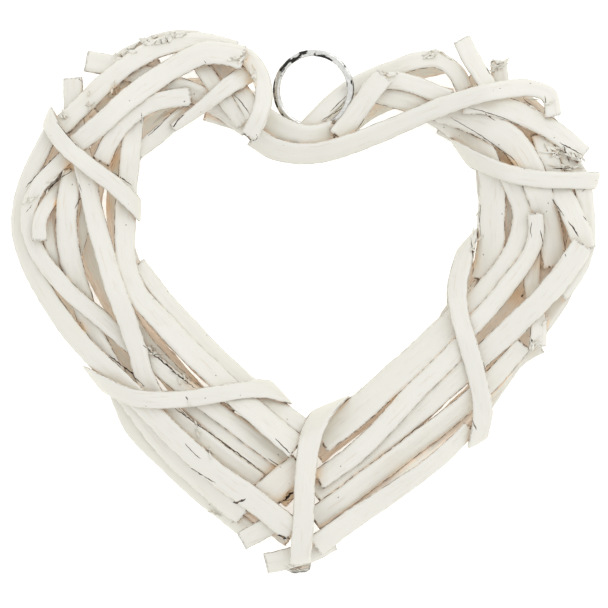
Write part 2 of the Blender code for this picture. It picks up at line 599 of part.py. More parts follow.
def wrap_mesh(wrap, cloud):
    """A taut half-round band round every point of cloud that its route passes over."""
    line = smooth_curve(to_plan(wrap.route))
    start, end = line[0], line[-1]
    length = np.linalg.norm(end - start)
    chord = (end - start) / length
    across = np.array((-chord[1], chord[0]))
    line = run_on(line, 3 * WRAP_SEARCH)
    along_line, off_line = (line - start) @ chord, (line - start) @ across
    along, off = (cloud[:, :2] - start) @ chord, (cloud[:, :2] - start) @ across
    order = np.argsort(along_line)
    width = wrap.width * MM
    start_lean, end_lean = np.multiply(wrap.leans, width)
    share = (off - np.interp(along, along_line[order], off_line[order])) / width
    slab = np.abs(share) < 0.5 + 2 * CLEARANCE / width
    slab &= along > start_lean * share - WRAP_SEARCH
    slab &= along < length + end_lean * share + WRAP_SEARCH
    points, share = np.column_stack((along, cloud[:, 2]))[slab], share[slab]
    reach, depth = np.ptp(points, axis=0) / 2
    turn = np.arange(WRAP_FACETS) * 2 * math.pi / WRAP_FACETS - math.pi / 2
    angle = np.arctan2(reach * np.sin(turn), depth * np.cos(turn))
    normal = np.column_stack((np.cos(angle), np.sin(angle)))
    lean = normal[:, 0] * np.where(normal[:, 0] < 0, start_lean, end_lean)
    support = (points @ normal.T - np.outer(share, lean)).max(axis=0)
    support[0] = BACK_REACH
    rings = []
    for place, up in HALF_ROUND:
        distance = support + lean * place + CLEARANCE + (up + 0.5) * WRAP_THICKNESS
        ring = []
        for k in range(WRAP_FACETS):
            m = (k + 1) % WRAP_FACETS
            pair = np.array((normal[k], normal[m]))
            ring.append(np.linalg.solve(pair, (distance[k], distance[m])))
        ring = np.array(ring)
        middle = (ring[0] + ring[-1]) / 2
        gap = np.array((WRAP_END_GAP / 2, 0.0))
        rings.append(np.vstack((middle + gap, ring, middle - gap)))
    rings = split_long_flats(np.stack(rings, axis=1))
    places = np.array([place for place, _ in HALF_ROUND])
    sideways = np.interp(rings[..., 0], along_line[order], off_line[order]) + places * width
    plan = start + rings[..., :1] * chord + sideways[..., None] * across
    corners = np.concatenate((plan, rings[..., 1:]), axis=-1).reshape(-1, 3)
    count, sides = len(rings), len(HALF_ROUND)
    return corners, side_faces(count, sides, False) + end_faces(count, sides)


def run_on(line, distance):
    """A line with a straight piece added at each of its ends."""
    first, last = line[0] - line[1], line[-1] - line[-2]
    before = line[0] + first * distance / np.linalg.norm(first)
    after = line[-1] + last * distance / np.linalg.norm(last)
    return np.vstack((before, line, after))


def split_long_flats(rings):
    """More stations where a flat of the wrap is long, so that it follows a curved route."""
    stations = [rings[0]]
    for here, there in zip(rings, rings[1:]):
        length = np.linalg.norm(there - here, axis=1).max()
        pieces = max(1, math.ceil(length / STATION_STEP))
        stations += [here + (there - here) * k / pieces for k in range(1, pieces + 1)]
    return np.array(stations)


def make_material(name, finish):
    colour, roughness, metallic = FINISHES[finish]
    material = bpy.data.materials.new(name)
    material.use_nodes = True
    shader = material.node_tree.nodes["Principled BSDF"]
    shader.inputs["Base Color"].default_value = colour
    shader.inputs["Roughness"].default_value = roughness
    shader.inputs["Metallic"].default_value = metallic
    return material


def signed_volume(corners, faces):
    total = 0.0
    for face in faces:
        for k in range(1, len(face) - 1):
            a, b, c = corners[face[0]], corners[face[k]], corners[face[k + 1]]
            total += np.dot(a, np.cross(b, c))
    return total / 6


def make_object(name, finish, corners, faces):
    """One solid, with its faces turned outwards."""
    if signed_volume(corners, faces) < 0:
        faces = [face[::-1] for face in faces]
    mesh = bpy.data.meshes.new(name)
    mesh.from_pydata(corners.tolist(), [], faces)
    mesh.shade_smooth()
    mesh.set_sharp_from_angle(angle=math.radians(50))
    mesh.materials.append(make_material(name + "_finish", finish))
    piece = bpy.data.objects.new(name, mesh)
    bpy.context.collection.objects.link(piece)
    return piece


def main():
    for old in list(bpy.data.objects):
        bpy.data.objects.remove(old)
    line = limb_line()
    strips = [lay_out_cane(cane, line) for cane in FRONT_CANES + BACK_CANES]
    strips.append(lay_out_ring())
    pieces = []
    for strip, height in zip(strips, settle(strips)):
        pieces.append((strip.name, strip.finish) + strip_mesh(strip, height))
    cloud = np.concatenate([edge_samples(corners, faces) for _, _, corners, faces in pieces])
    for wrap in WRAPS:
        pieces.append((wrap.name, "white") + wrap_mesh(wrap, cloud))
    everything = np.concatenate([corners for _, _, corners, _ in pieces])
    low, high = everything.min(axis=0), everything.max(axis=0)
    origin = np.array(((low[0] + high[0]) / 2, (low[1] + high[1]) / 2, low[2]))
    for name, finish, corners, faces in pieces:
        make_object(name, finish, corners - origin, faces)


main()
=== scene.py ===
"""A white-washed willow heart wreath with a split key ring, dressed over its CAD solids.

Every cane is rebuilt finely from its own solid: the solid's cross-sections are read from end to
end, run together on a smooth curve and given a rounded willow section.  Where other canes
shelter it, the paint thins out and the bare wood shows, and shade is painted there as well:
near-black where canes press on each other, darker edge lines, and a greyer wash deep in the
heart and on faces that don't look up.  The canes glow a little, as painted light.  The wraps'
ends lean, so their sections are cut by half planes.  Thin canes are tucked into the hollow under
the front ones, torn fibres and bark stand off them, and dark slivers lie in their cracks and, as
painted shade, along the seams between them.  The split ring's wire has dark reflections painted on it.
"""

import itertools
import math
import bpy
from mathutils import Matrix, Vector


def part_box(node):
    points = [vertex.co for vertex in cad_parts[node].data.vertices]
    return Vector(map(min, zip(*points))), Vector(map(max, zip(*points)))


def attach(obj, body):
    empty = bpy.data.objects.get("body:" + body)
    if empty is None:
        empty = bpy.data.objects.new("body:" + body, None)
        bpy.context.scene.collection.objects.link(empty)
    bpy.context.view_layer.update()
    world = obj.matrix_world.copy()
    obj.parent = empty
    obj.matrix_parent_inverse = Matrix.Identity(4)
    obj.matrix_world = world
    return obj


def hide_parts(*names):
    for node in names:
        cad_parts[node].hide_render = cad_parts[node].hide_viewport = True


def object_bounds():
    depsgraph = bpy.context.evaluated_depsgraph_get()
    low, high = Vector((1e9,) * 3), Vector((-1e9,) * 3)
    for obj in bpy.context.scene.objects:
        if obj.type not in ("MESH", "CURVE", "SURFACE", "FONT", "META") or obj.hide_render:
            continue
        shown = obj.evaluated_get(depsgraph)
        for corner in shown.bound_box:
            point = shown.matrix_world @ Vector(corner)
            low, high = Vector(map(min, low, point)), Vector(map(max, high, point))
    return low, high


bl_info = {
    "name": "Willow heart wreath",
    "version": (1, 0, 0),
    "blender": (4, 5, 0),
    "location": "View3D > Sidebar > Wreath",
    "description": "Dresses a willow heart wreath with white-washed canes and a split key ring",
    "category": "Add Mesh",
}

import zlib

import bmesh
import bpy
import numpy as np
from bpy.props import FloatProperty, FloatVectorProperty, IntProperty, PointerProperty
from bpy.types import Operator, Panel, PropertyGroup
from mathutils import Vector
from mathutils.bvhtree import BVHTree

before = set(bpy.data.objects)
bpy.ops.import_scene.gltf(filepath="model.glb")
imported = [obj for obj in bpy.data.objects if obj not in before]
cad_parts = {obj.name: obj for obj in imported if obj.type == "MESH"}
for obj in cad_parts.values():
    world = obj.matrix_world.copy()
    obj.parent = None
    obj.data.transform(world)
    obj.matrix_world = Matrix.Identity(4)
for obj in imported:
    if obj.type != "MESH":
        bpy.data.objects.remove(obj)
CAD_BOX = [list(corner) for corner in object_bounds()]

MM = 0.001
HEART_SPAN = 588                       # squares of the photograph's frame across the heart
FRAME_SPAN = 608                       # squares across the whole frame
GRID = 200 * MM / HEART_SPAN
RING_SQUARE = (313.5, 89.96)           # the frame's square over the key ring's middle

LEFT_LOBE = (
    "left_rim_cane", "left_sweeping_cane", "left_bent_cane", "left_upright_cane",
    "left_slanting_cane", "left_inner_cane", "left_inner_edge_cane", "left_shoulder_cane_inner",
    "left_shoulder_cane_upper", "left_leg_cane_middle", "left_leg_cane_outer",
)
CROWN = (
    "left_crown_cane_outer", "left_crown_cane_inner", "notch_cane_long", "notch_cane_middle",
    "notch_cane_right", "notch_cane_upper",
)
NECK = (
    "neck_tie_cane", "neck_cane_wide", "neck_cane_slanting", "neck_cane_long", "neck_cane_ring",
    "right_crown_cane_inner", "right_crown_cane_lower",
)
RIGHT_LOBE = (
    "right_crown_cane_stub", "right_crown_cane_torn", "right_shoulder_cane_outer",
    "right_slanting_cane", "right_side_cane", "right_rim_cane", "right_inner_cane",
    "right_lobe_cane_crossing", "right_lobe_cane_bowed", "right_lobe_cane_lower",
)
RIGHT_LEG = (
    "right_long_cane", "right_leg_cane_inner", "right_leg_cane_second", "right_leg_cane_fourth",
    "right_leg_cane_outer",
)
TIP = ("tip_cane_left", "tip_cane_upper", "tip_cane_bottom")
BACK = (
    "back_left_cane_outer", "back_left_cane_middle", "back_left_cane_inner",
    "back_left_cane_crossing", "back_neck_cane_upper", "back_neck_cane_lower",
    "back_right_cane_outer", "back_right_cane_middle", "back_right_cane_inner",
    "back_right_cane_crossing",
)
WRAPS = ("left_lobe_wrap", "left_leg_wrap", "tip_wrap", "right_leg_wrap", "right_lobe_wrap")
RING = "hanging_ring"

ring_low, ring_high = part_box(RING)
# The frame's square over the heart's origin
PLAN_CENTRE = (
    RING_SQUARE[0] - (ring_low[0] + ring_high[0]) / 2 / GRID,
    RING_SQUARE[1] + (ring_low[1] + ring_high[1]) / 2 / GRID,
)

# Reading the solids: a cane's section has six corners, of which the flat side's two come first
CORNERS = 6
ORDERS = np.array(list(itertools.permutations(range(CORNERS))))
WELD = 0.02 * MM                       # corners of a solid nearer than this are one
SAME_FLAT = 0.99999                    # least cosine between two faces of one flat
WRAP_CUTS = 720                        # half planes that a wrap is cut by
WRAP_WHOLE = 0.97                      # least width of a whole cut, as a share of the usual one
WRAP_STEP = 1.0 * MM                   # between a wrap's sections once they are evened out
WRAP_EASING = 4                        # passes that ease the corners between a wrap's flats
# A wrap section's six corners: place across its width, and level from its inside to its outside
WRAP_PLACES = np.array((-0.499, 0.499, 0.499, 0.27, -0.27, -0.499))
WRAP_LEVELS = np.array((0.0, 0.0, 1.0, 1.0, 1.0, 1.0))

# A strip's six corners: place across its width and level through its thickness
HALF_ROUND = np.array([(-0.5, -0.5), (0.5, -0.5), (0.5, 0.05), (0.27, 0.5), (-0.27, 0.5), (-0.5, 0.05)])
CANE_SECTIONS = 8                      # fewest cross-sections of a fine cane
PLAN_POINTS = 5                        # fewest points of a smooth route in plan
SEEDS = 100000                         # how many seeds a piece's name can give
GRAIN_SCALE = 100                      # the grain's map is in centimetres
GRAIN_STARTS = (97, 89)                # each cane's pattern starts elsewhere, up to so far off
TINY = 1e-9                            # keeps a length from being nought

# The willow section, across from -1 to 1 and up from 0 to 1: a crown over a nearly flat side
CROWN_POINTS = 15
CROWN_FOOT = 0.34                      # how high the crown's two ends stand
CROWN_POWER = 6                        # the higher, the squarer the crown
CROWN_LEVEL = 0.3                      # all of the crown and none of the flat side is above it
FLAT_SIDE = [(0.965, 0.03), (0.62, 0.0), (0.2, 0.02), (-0.2, 0.02), (-0.62, 0.0), (-0.965, 0.03)]

# Where marks set in towards a cane's edges, and over how much of its half width they grow
CROWN_MARKS = (0.86, 0.12)
FLAT_MARKS = (0.70, 0.25)
FLAT_MARK_SHARE = 0.5                  # how strong the flat side's are next to the crown's

WAVE_SHARES = (1.0, 0.47, 0.23)        # the waves that a waver is made of, in height and length
# The long and the short wave of a cane's left edge and of its right edge
EDGE_WAVES = ((21 * MM, 4 * MM), (26 * MM, 5 * MM))
SHORT_WAVE = 0.35                      # the short wave's height as a share of the long one's
SHORT_SEED = 5                         # added to a cane's seed for its short waves
SWELL = 0.03                           # how much a cane's height swells and shrinks
SWELL_WAVE = 17 * MM
SWELL_SEED = 2                         # added to a cane's seed for its swelling
# Ridges along the crown: height, how closely they lie, and how far each seed shifts them
RIDGES = ((0.035, 7.3, 1.0), (0.02, 15.1, 0.7))
RAGGED_RANGE = (-0.4, 1.0)             # how far fibres at a cane's ends stand in or out

# Canes that the photograph shows wider than their solids could be
FULLER = {
    "left_upright_cane": 1.30, "left_sweeping_cane": 1.20, "left_rim_cane": 1.20,
    "left_leg_cane_outer": 1.30, "left_crown_cane_outer": 1.22, "left_crown_cane_inner": 1.28,
    "left_shoulder_cane_upper": 1.20, "notch_cane_middle": 1.25, "notch_cane_right": 1.25,
    "notch_cane_upper": 1.15, "right_slanting_cane": 1.28, "right_side_cane": 1.18,
    "right_lobe_cane_crossing": 1.24, "right_lobe_cane_bowed": 1.30, "right_lobe_cane_lower": 1.35,
    "right_long_cane": 1.14, "right_leg_cane_second": 1.20, "right_leg_cane_fourth": 1.40,
    "right_leg_cane_outer": 1.20,
}

# Thin canes that lie in the hollow right under the front ones: width in squares and route
TUCKED_CANES = {
    "left_crown_tucked": (16, [(98, 112), (122, 88), (141, 74), (160, 63)]),
    "left_crown_low": (15, [(146, 142), (160, 124), (176, 112), (196, 102)]),
    "left_lobe_tucked": (14, [(58, 160), (52, 190), (48, 230), (58, 270), (78, 305)]),
    "left_side_tucked": (13, [(94, 180), (86, 212), (79, 242), (69, 274)]),
    "left_leg_tucked": (16, [(120, 300), (140, 335), (165, 365), (196, 392), (230, 416)]),
    "right_lobe_tucked": (20, [(442, 124), (466, 138), (492, 152), (516, 170), (524, 190)]),
    "right_crown_tucked": (14, [(478, 100), (505, 112), (528, 128), (544, 150)]),
    "right_side_tucked": (15, [(556, 190), (562, 225), (552, 262), (528, 300)]),
    "right_hollow_tucked": (14, [(512, 190), (508, 225), (494, 262), (470, 300)]),
    "right_leg_tucked": (16, [(541, 346), (522, 357), (505, 377), (488, 402), (470, 426)]),
    "right_leg_inner_tucked": (14, [(470, 342), (430, 388), (380, 437), (330, 478)]),
    "tip_tucked": (16, [(236, 512), (262, 500), (290, 492), (320, 478)]),
    "left_crown_bark": (16, [(112, 66), (124, 56), (140, 48), (158, 41), (178, 37), (198, 38)]),
}
TUCKED_THICKNESS = 1.6 * MM
TUCKED_STEP = 3 * MM                   # between the places where the canes above are found
TUCKED_NEAR = 2                        # such places on either side that they also keep under
TUCKED_EASING = 3                      # passes that ease their rise and fall
TUCKED_GAP = 0.3 * MM                  # between them and the canes above
HOLLOW_HEIGHT = 10 * MM                # a height inside the limb's hollow, all round the heart
SIGHT_HEIGHT = 60 * MM                 # a height above the whole heart, to look down from

# Where bark and torn fibres stand off the canes: route, number, length and width in squares
TORN_PLACES = (
    ([(118, 57), (136, 46), (158, 39), (178, 35)], 30, 10, 5.0),
    ([(234, 60), (245, 56)], 10, 9, 2.6),
    ([(252, 70), (258, 90)], 5, 8, 2.4),
    ([(424, 56), (440, 52), (456, 58)], 14, 11, 2.8),
    ([(386, 74), (398, 70)], 4, 8, 2.2),
    ([(490, 66), (504, 64)], 12, 9, 3.2),
    ([(548, 150), (566, 154), (582, 160)], 22, 14, 3.0),
    ([(552, 166), (580, 166)], 8, 13, 2.4),
    ([(54, 104), (62, 116)], 10, 9, 2.6),
    ([(84, 126), (90, 96)], 4, 8, 2.2),
    ([(114, 96), (118, 84)], 6, 10, 2.4),
    ([(143, 345), (165, 364), (195, 388)], 14, 8, 2.2),
    ([(28, 205), (60, 172)], 8, 13, 2.2),
    ([(520, 100), (548, 104)], 6, 10, 2.4),
    ([(186, 400), (205, 440), (225, 470)], 8, 9, 2.0),
    ([(214, 514), (236, 524)], 5, 8, 2.2),
    ([(546, 320), (534, 348)], 8, 10, 2.4),
    ([(478, 210), (476, 255)], 8, 12, 2.0),
    ([(285, 566), (296, 572)], 5, 7, 2.4),
)

# Cracks, and painted shade along the dark seams at the canes' edges, as width in squares and route in the
# frame's squares
CRACKS_AND_SHADE_LINES = (
    (1.0, [(233, 94), (242, 103), (250, 115)]),
    (1.2, [(243, 133), (250, 140), (256, 141), (258, 137)]),
    (1.0, [(330, 112), (347, 95)]),
    (1.0, [(321, 121), (344, 106)]),
    (1.4, [(204, 61), (211, 68)]),
    (1.4, [(142, 113), (141, 124)]),
    (1.0, [(148, 136), (159, 126), (170, 115)]),
    (1.6, [(172, 129), (178, 120), (185, 115)]),
    (1.2, [(118, 147), (114, 156), (111, 163)]),
    (1.2, [(110, 171), (122, 178), (132, 186)]),
    (1.0, [(99, 141), (96, 146)]),
    (1.0, [(64, 78), (76, 76), (82, 82)]),
    (1.6, [(53, 102), (60, 99)]),
    (1.4, [(56, 107), (55, 110), (60, 113)]),
    (1.4, [(67, 134), (70, 131)]),
    (1.2, [(57, 122), (67, 135), (79, 148)]),
    (1.6, [(60, 152), (47, 165), (36, 176), (25, 187)]),
    (1.2, [(76, 168), (64, 176), (55, 183), (42, 194)]),
    (1.0, [(79, 183), (82, 192)]),
    (1.2, [(81, 195), (75, 209)]),
    (1.0, [(26, 212), (32, 205)]),
    (1.4, [(486, 68), (490, 75)]),
    (1.2, [(523, 97), (531, 104), (540, 112)]),
    (1.0, [(544, 96), (546, 106)]),
    (1.2, [(484, 113), (490, 118), (495, 121)]),
    (1.0, [(468, 108), (484, 112), (502, 118), (519, 125)]),
    (1.0, [(450, 117), (480, 135), (512, 158), (519, 168)]),
    (1.6, [(559, 143), (574, 151), (585, 157)]),
    (1.4, [(563, 146), (569, 163)]),
    (1.2, [(552, 152), (560, 158)]),
    (1.2, [(573, 153), (577, 160)]),
    (1.4, [(552, 169), (564, 168), (575, 169)]),
    (1.4, [(582, 192), (586, 188)]),
    (1.0, [(481, 205), (480, 220), (481, 235)]),
    (1.2, [(471, 236), (472, 247), (473, 258)]),
    (1.0, [(531, 222), (530, 230), (531, 238)]),
    (1.2, [(540, 230), (543, 247)]),
    (1.2, [(551, 199), (558, 208), (564, 217)]),
    (1.6, [(567, 221), (573, 229), (578, 237)]),
    (1.4, [(582, 216), (588, 223)]),
    (1.2, [(563, 250), (565, 257)]),
    (1.4, [(483, 362), (485, 372)]),
    (1.8, [(530, 336), (532, 343)]),
    (1.6, [(472, 418), (476, 430)]),
    (1.8, [(109, 355), (124, 368), (138, 380), (145, 387)]),
    (2.0, [(143, 345), (158, 358), (178, 375), (195, 388)]),
    (2.0, [(173, 407), (196, 424), (220, 440), (243, 457), (265, 474)]),
    (1.4, [(275, 438), (284, 447), (293, 456)]),
    (1.2, [(268, 458), (282, 468)]),
    (4.0, [(232, 503), (239, 501), (246, 499)]),
    (4.5, [(278, 534), (284, 536), (290, 540)]),
    (3.0, [(279, 504), (287, 498), (294, 491)]),
    (1.6, [(190, 467), (204, 476), (216, 483)]),
    (1.4, [(186, 396), (188, 400)]),
    (1.2, [(185, 443), (193, 452), (201, 459)]),
)

CRACK_STEP = 0.7 * MM                  # between the points along a sliver
CRACK_POINTS = 4                       # fewest points along a sliver
CRACK_DEPTH = 0.3 * MM
CRACK_EDGE = 0.02 * MM                 # how high a sliver's edges lie on the cane
CRACK_RIDGE = 0.07 * MM                # how high its middle lies
CRACK_TIP = 0.12                       # its width at its ends as a share of its width
CRACK_WIDTHS = (0.6, 1.1)              # shares of its width between which it changes
CRACK_WAVER = 0.3                      # how far it wavers, as a share of its width

TORN_SEED = 41
TORN_SHELTER = 0.42                    # the most shelter that torn fibres count as having
TORN_EDGE = 0.45                       # how much of a cane's edge marks they show
TORN_STEP = 0.5 * MM                   # between the fine cross-sections of a torn fibre
TORN_SECTIONS = 6                      # cross-sections of each before it is made fine
TORN_TURN = 0.45                       # how far they turn off their route, in radians
TORN_SPREAD = 0.8 * MM                 # how far they lie off it
TORN_LENGTHS = (0.4, 1.1)              # shares of the listed length
TORN_WIDTHS = (0.5, 1.2)               # shares of the listed width
TORN_THICKNESSES = (0.3 * MM, 0.8 * MM)
TORN_SLOPES = (-0.25 * MM, 0.5 * MM)   # rise from the middle to one end
TORN_LIFT = 0.5 * MM                   # how high their middles stand off the cane
TORN_CURL = 0.35 * MM                  # how much further up both ends curl
TORN_TAPER = 0.8                       # how much narrower their ends are

RING_WIRE = (2.3 * MM, 1.05 * MM)      # the wire's width and height
RING_TURNS = 1.97
RING_CUTS = 340                        # cross-sections of the wire
RING_SIDES = 16
RING_START = 97                        # where the wire starts, in degrees
RING_STEP = 60                         # how sharply the wire steps from one turn to the other
RING_LAY = 1.05                        # the turns' distance as a share of the wire's height
RING_POWER = 0.75                      # the lower, the squarer the wire

# Painted dark reflections on the key ring: from and to in degrees, place from inside (-1) to outside (1),
# strength
REFLECTION_STREAKS = (
    (97, 112, 0.5, 1.0), (108, 128, -0.2, 0.95), (124, 152, 0.3, 0.9), (140, 158, -0.7, 0.6),
    (56, 90, -0.6, 0.95), (34, 60, 0.7, 0.55), (162, 206, 0.9, 0.85), (208, 236, 0.9, 0.7),
    (-30, 22, 0.9, 0.6), (-8, 16, -0.9, 0.55), (250, 268, -0.9, 0.6),
)
REFLECTION_END = 1.15                     # where a patch ends, in shares of its half length
REFLECTION_FADE = 0.3                     # over how much of that it fades
REFLECTION_MIDDLE = 1.4                   # its strength in its middle line, cut off at 1
REFLECTION_LOSS = 1.3                     # what it loses for each half width of the wire

# Warm stains, as place and radius in squares and strength
STAINS = (
    (277, 476, 11, 0.75), (250, 62, 9, 0.30), (67, 166, 6, 0.7), (57, 204, 6, 0.7), (80, 328, 7, 0.7),
    (115, 160, 10, 0.5), (106, 205, 9, 0.45), (513, 161, 9, 0.75), (517, 294, 9, 0.6),
    (538, 262, 10, 0.35), (88, 84, 7, 0.5), (116, 92, 7, 0.4), (250, 84, 6, 0.5), (286, 497, 12, 0.6),
    (318, 474, 9, 0.5), (388, 460, 9, 0.45), (396, 402, 10, 0.4), (194, 382, 9, 0.4),
    (530, 138, 9, 0.5), (568, 228, 8, 0.4), (472, 262, 8, 0.35),
)

GOLDEN_TURN = math.pi * (3 - math.sqrt(5))    # between directions spread evenly round an axis
RAY_START = 0.12 * MM                  # how far off a surface the looking round starts
FAR_LOSS = 0.5                         # how much less a cane shelters at the full reach
UPRIGHT = 0.9                          # a normal whose Z is beyond this counts as upright

# The grain's patterns: how closely they lie across and along the grain, then the scale, detail
# and roughness of their noise, and the levels between which a pattern sets in
GRAIN_NOISES = {
    "Fibres": ((14.0, 0.8), (2.0, 4.0, 0.65), None),
    "Fine Fibres": ((40.0, 2.2), (2.0, 2.0, 0.5), None),
    "Pores": ((9.0, 3.4), (2.2, 2.0, 0.6), (0.66, 0.72)),
    "Patches": ((1.6, 0.5), (1.6, 3.0, 0.6), None),
    "Streaks": ((9.0, 0.35), (2.2, 3.0, 0.6), (0.60, 0.68)),
    "Dashes": ((3.0, 1.5), (2.0, 5.0, 0.75), (0.47, 0.54)),
}
SPECK_SPACING = (1.5, 0.9)             # how closely specks lie across and along the grain
SPECK_WOBBLE = 0.07                    # how uneven their edges are
SPECK_SIZES = (0.04, 0.065)            # radii between which a speck fades
SPECK_LEVELS = (0.58, 0.60)            # noise between which specks set in
# How high each pattern stands on the canes
RELIEF = {"Fibres": 0.7, "Fine Fibres": 0.3, "Pores": -0.6, "Specks": -1.5, "Streaks": -0.5}
BUMP_STRENGTH = 0.45
BUMP_HEIGHT = 0.3 * MM

# Where a mix node of colours has its share, its two colours and its result
MIX_INPUTS = (0, 6, 7)
MIX_OUTPUT = 2

# What the wash reads from the grain, and its colours
MASKS = ("Fibres", "Pores", "Patches", "Specks", "Streaks", "Dashes")
COLOURS = ("Paint", "Thin Paint And Shade", "Wood", "Dark Wood", "Contact Shade", "Line", "Stain")
RAGGED_WEAR = 0.45                     # how ragged the fibres make the paint's edge
EDGE_WEAR = 0.30                       # how much sooner the paint goes at a cane's edges
WEAR_RANGE = 0.17                      # over how much shelter the paint goes
PORE_WEAR = 0.35                       # how bare the wood is in its pores
STREAK_STRENGTH = 0.45                 # how much dark wood the streaks let through
SHELTER_THINNING_AND_SHADE = 0.7                 # how much shelter counts next to the patches, for the thin paint and the painted shade of sheltered places
# Ramps of the wash: from and to, then the values that they start and end with
THIN_BY_PATCHES = (0.55, 0.95, 0.0, 1.0)
SHADE_BY_HEIGHT = (7 * MM, 19 * MM, 0.8, 0.0)    # painted shade deep in the heart
SHADE_BY_TILT = (0.35, 0.96, 0.7, 0.0)           # painted shade on faces that don't look up
DARK_BY_FIBRES = (0.42, 0.66, 0.0, 1.0)
STAIN_BY_FIBRES = (0.30, 0.62, 0.35, 1.25)
STAIN_BY_SHELTER = (0.12, 0.42, 0.12, 1.0)
LINE_BY_EDGE = (0.30, 0.75, 0.0, 1.0)
# Painted shade: the edge lines grow darker where other canes shelter a cane
LINE_SHADE_BY_SHELTER = (0.10, 0.45, 0.35, 1.0)
# Painted shade: near-black where other canes close a cane in, in the crevices where two press on each
# other
CONTACT_SHADE_BY_SHELTER = (0.80, 0.97, 0.0, 1.0)
ROUGHNESS_BY_BARENESS = (0.0, 1.0, 0.55, 0.8)

WHITE = (1, 1, 1, 1)
PLATING = (0.80, 0.80, 0.78, 1)
SCUFFED_PLATING = (0.60, 0.60, 0.58, 1)
# Painted reflection: the near-black of the dark streaks on the wire
DARK_REFLECTION = (0.035, 0.033, 0.03, 1)
SCUFF_LEVELS = (0.35, 0.7)             # noise between which the plating gets scuffed
REFLECTION_SHARE = 0.5                    # how much the painted reflection counts next to its own noise
REFLECTION_LEVELS = (0.78, 0.90)          # sum of the two between which it shows
ROUGHNESS_BY_SCUFFS = (0.3, 0.75, 0.16, 0.38)
CRACK_SHADOW = (0.03, 0.02, 0.015, 1)
CRACK_DUST = (0.20, 0.14, 0.10, 1)
DUST_LEVELS = (0.42, 0.62)             # noise between which dust shows
CRACK_ROUGHNESS = 0.95

FLOOR_REACH = 3.0                      # metres from the middle to each side
FLOOR_DROP = 0.05 * MM                 # how far below the heart the floor lies
FLOOR_ROUGHNESS = 0.9
FLOOR_GLOW = 0.35
WINDOW_POWER = 5.0                     # watts
WINDOW_SIZE = 1.2                      # metres
WINDOW_PLACE = (0.55, 0.75, 1.3)
FRAMED_HEIGHT = 0.6                    # share of the heart's height at which the frame fits
FAR_CLIP = 20                          # metres

# Each dressed piece and the most shelter it counts as having, kept until the paint is worked out
dressed = []


def in_plan(x, y):
    """The heart's own plan place of a square of the photograph's frame."""
    return (x - PLAN_CENTRE[0]) * GRID, (PLAN_CENTRE[1] - y) * GRID


# Reading the solids

def welded(node):
    """A solid's corners, each once, the corners that an edge joins each to, and its flats."""
    solid = bmesh.new()
    solid.from_mesh(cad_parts[node].data)
    bmesh.ops.remove_doubles(solid, verts=solid.verts, dist=WELD)
    solid.verts.ensure_lookup_table()
    solid.verts.index_update()
    corners = np.array([vert.co for vert in solid.verts])
    joined = [{edge.other_vert(vert).index for edge in vert.link_edges} for vert in solid.verts]
    flats = six_cornered_flats(solid)
    solid.free()
    return corners, joined, flats


def six_cornered_flats(solid):
    """The corners of each flat that has six of them, as a cane's two ends have."""
    solid.normal_update()
    found = []
    seen = set()
    for first in solid.faces:
        if first in seen:
            continue
        group, waiting = {first}, [first]
        while waiting:
            face = waiting.pop()
            for edge in face.edges:
                for other in edge.link_faces:
                    if other not in group and other.normal.dot(first.normal) > SAME_FLAT:
                        group.add(other)
                        waiting.append(other)
        seen |= group
        ring = {vert.index for face in group for vert in face.verts}
        if len(ring) == CORNERS:
            found.append(ring)
    return found


def rings_from(start, joined):
    """Rings of six corners, each next to the one before, or nothing if the solid isn't a strip."""
    rings, used = [sorted(start)], set(start)
    while len(used) < len(joined):
        beyond = set().union(*(joined[i] for i in rings[-1])) - used
        if len(beyond) != CORNERS:
            return None
        rings.append(sorted(beyond))
        used |= beyond
    return rings


def stations_of(node):
    """A cane's cross-sections from end to end: six corners each, the flat side's two first."""
    corners, joined, flats = welded(node)
    rings = next(filter(None, (rings_from(flat, joined) for flat in flats)), None)
    if rings is None:
        raise RuntimeError("%s is not a strip of six-cornered sections" % node)
    half = len(rings) // 2
    middle = rings[half]
    cycle = [middle[0]]
    while len(cycle) < CORNERS:
        cycle.append(next(i for i in middle if i in joined[cycle[-1]] and i not in cycle))
    ordered = {half: corners[cycle]}
    for i in [*range(half + 1, len(rings)), *range(half - 1, -1, -1)]:
        nearest = ordered[i - 1] if i > half else ordered[i + 1]
        here = corners[rings[i]]
        match = np.einsum("pkc,kc->p", here[ORDERS], nearest - nearest.mean(axis=0))
        ordered[i] = here[ORDERS[match.argmax()]]
    stations = np.array([ordered[i] for i in range(len(rings))])
    lengths = np.linalg.norm(np.roll(stations, -1, axis=1) - stations, axis=2).sum(axis=0)
    return np.roll(stations, -int(lengths.argmax()), axis=1)


def lengths_along(path):
    """The length from a path's start to each of its points."""
    return np.concatenate(([0.0], np.cumsum(np.linalg.norm(np.diff(path, axis=0), axis=1))))


def lower_edge(points):
    """The lower side of the convex outline round some points in a plane, from left to right."""
    side = []
    for point in sorted(map(tuple, points)):
        while len(side) > 1 and not turns_left(side[-2], side[-1], point):
            side.pop()
        side.append(point)
    return np.array(side)


def turns_left(before, here, after):
    """Whether the way through three points bends to the left."""
    first, second = np.subtract(here, before), np.subtract(after, here)
    return first[0] * second[1] > first[1] * second[0]


def section_of(points):
    """Six corners of a half-round section through some points, the flat side's two first."""
    below = lower_edge(points)
    above = lower_edge(points * (1, -1)) * (1, -1)
    low, high = points[:, 0].min(), points[:, 0].max()
    across = (low + high) / 2 + (high - low) * WRAP_PLACES
    under, over = np.interp(across, *below.T), np.interp(across, *above.T)
    level = under + (over - under) * WRAP_LEVELS
    return np.column_stack((across, level))


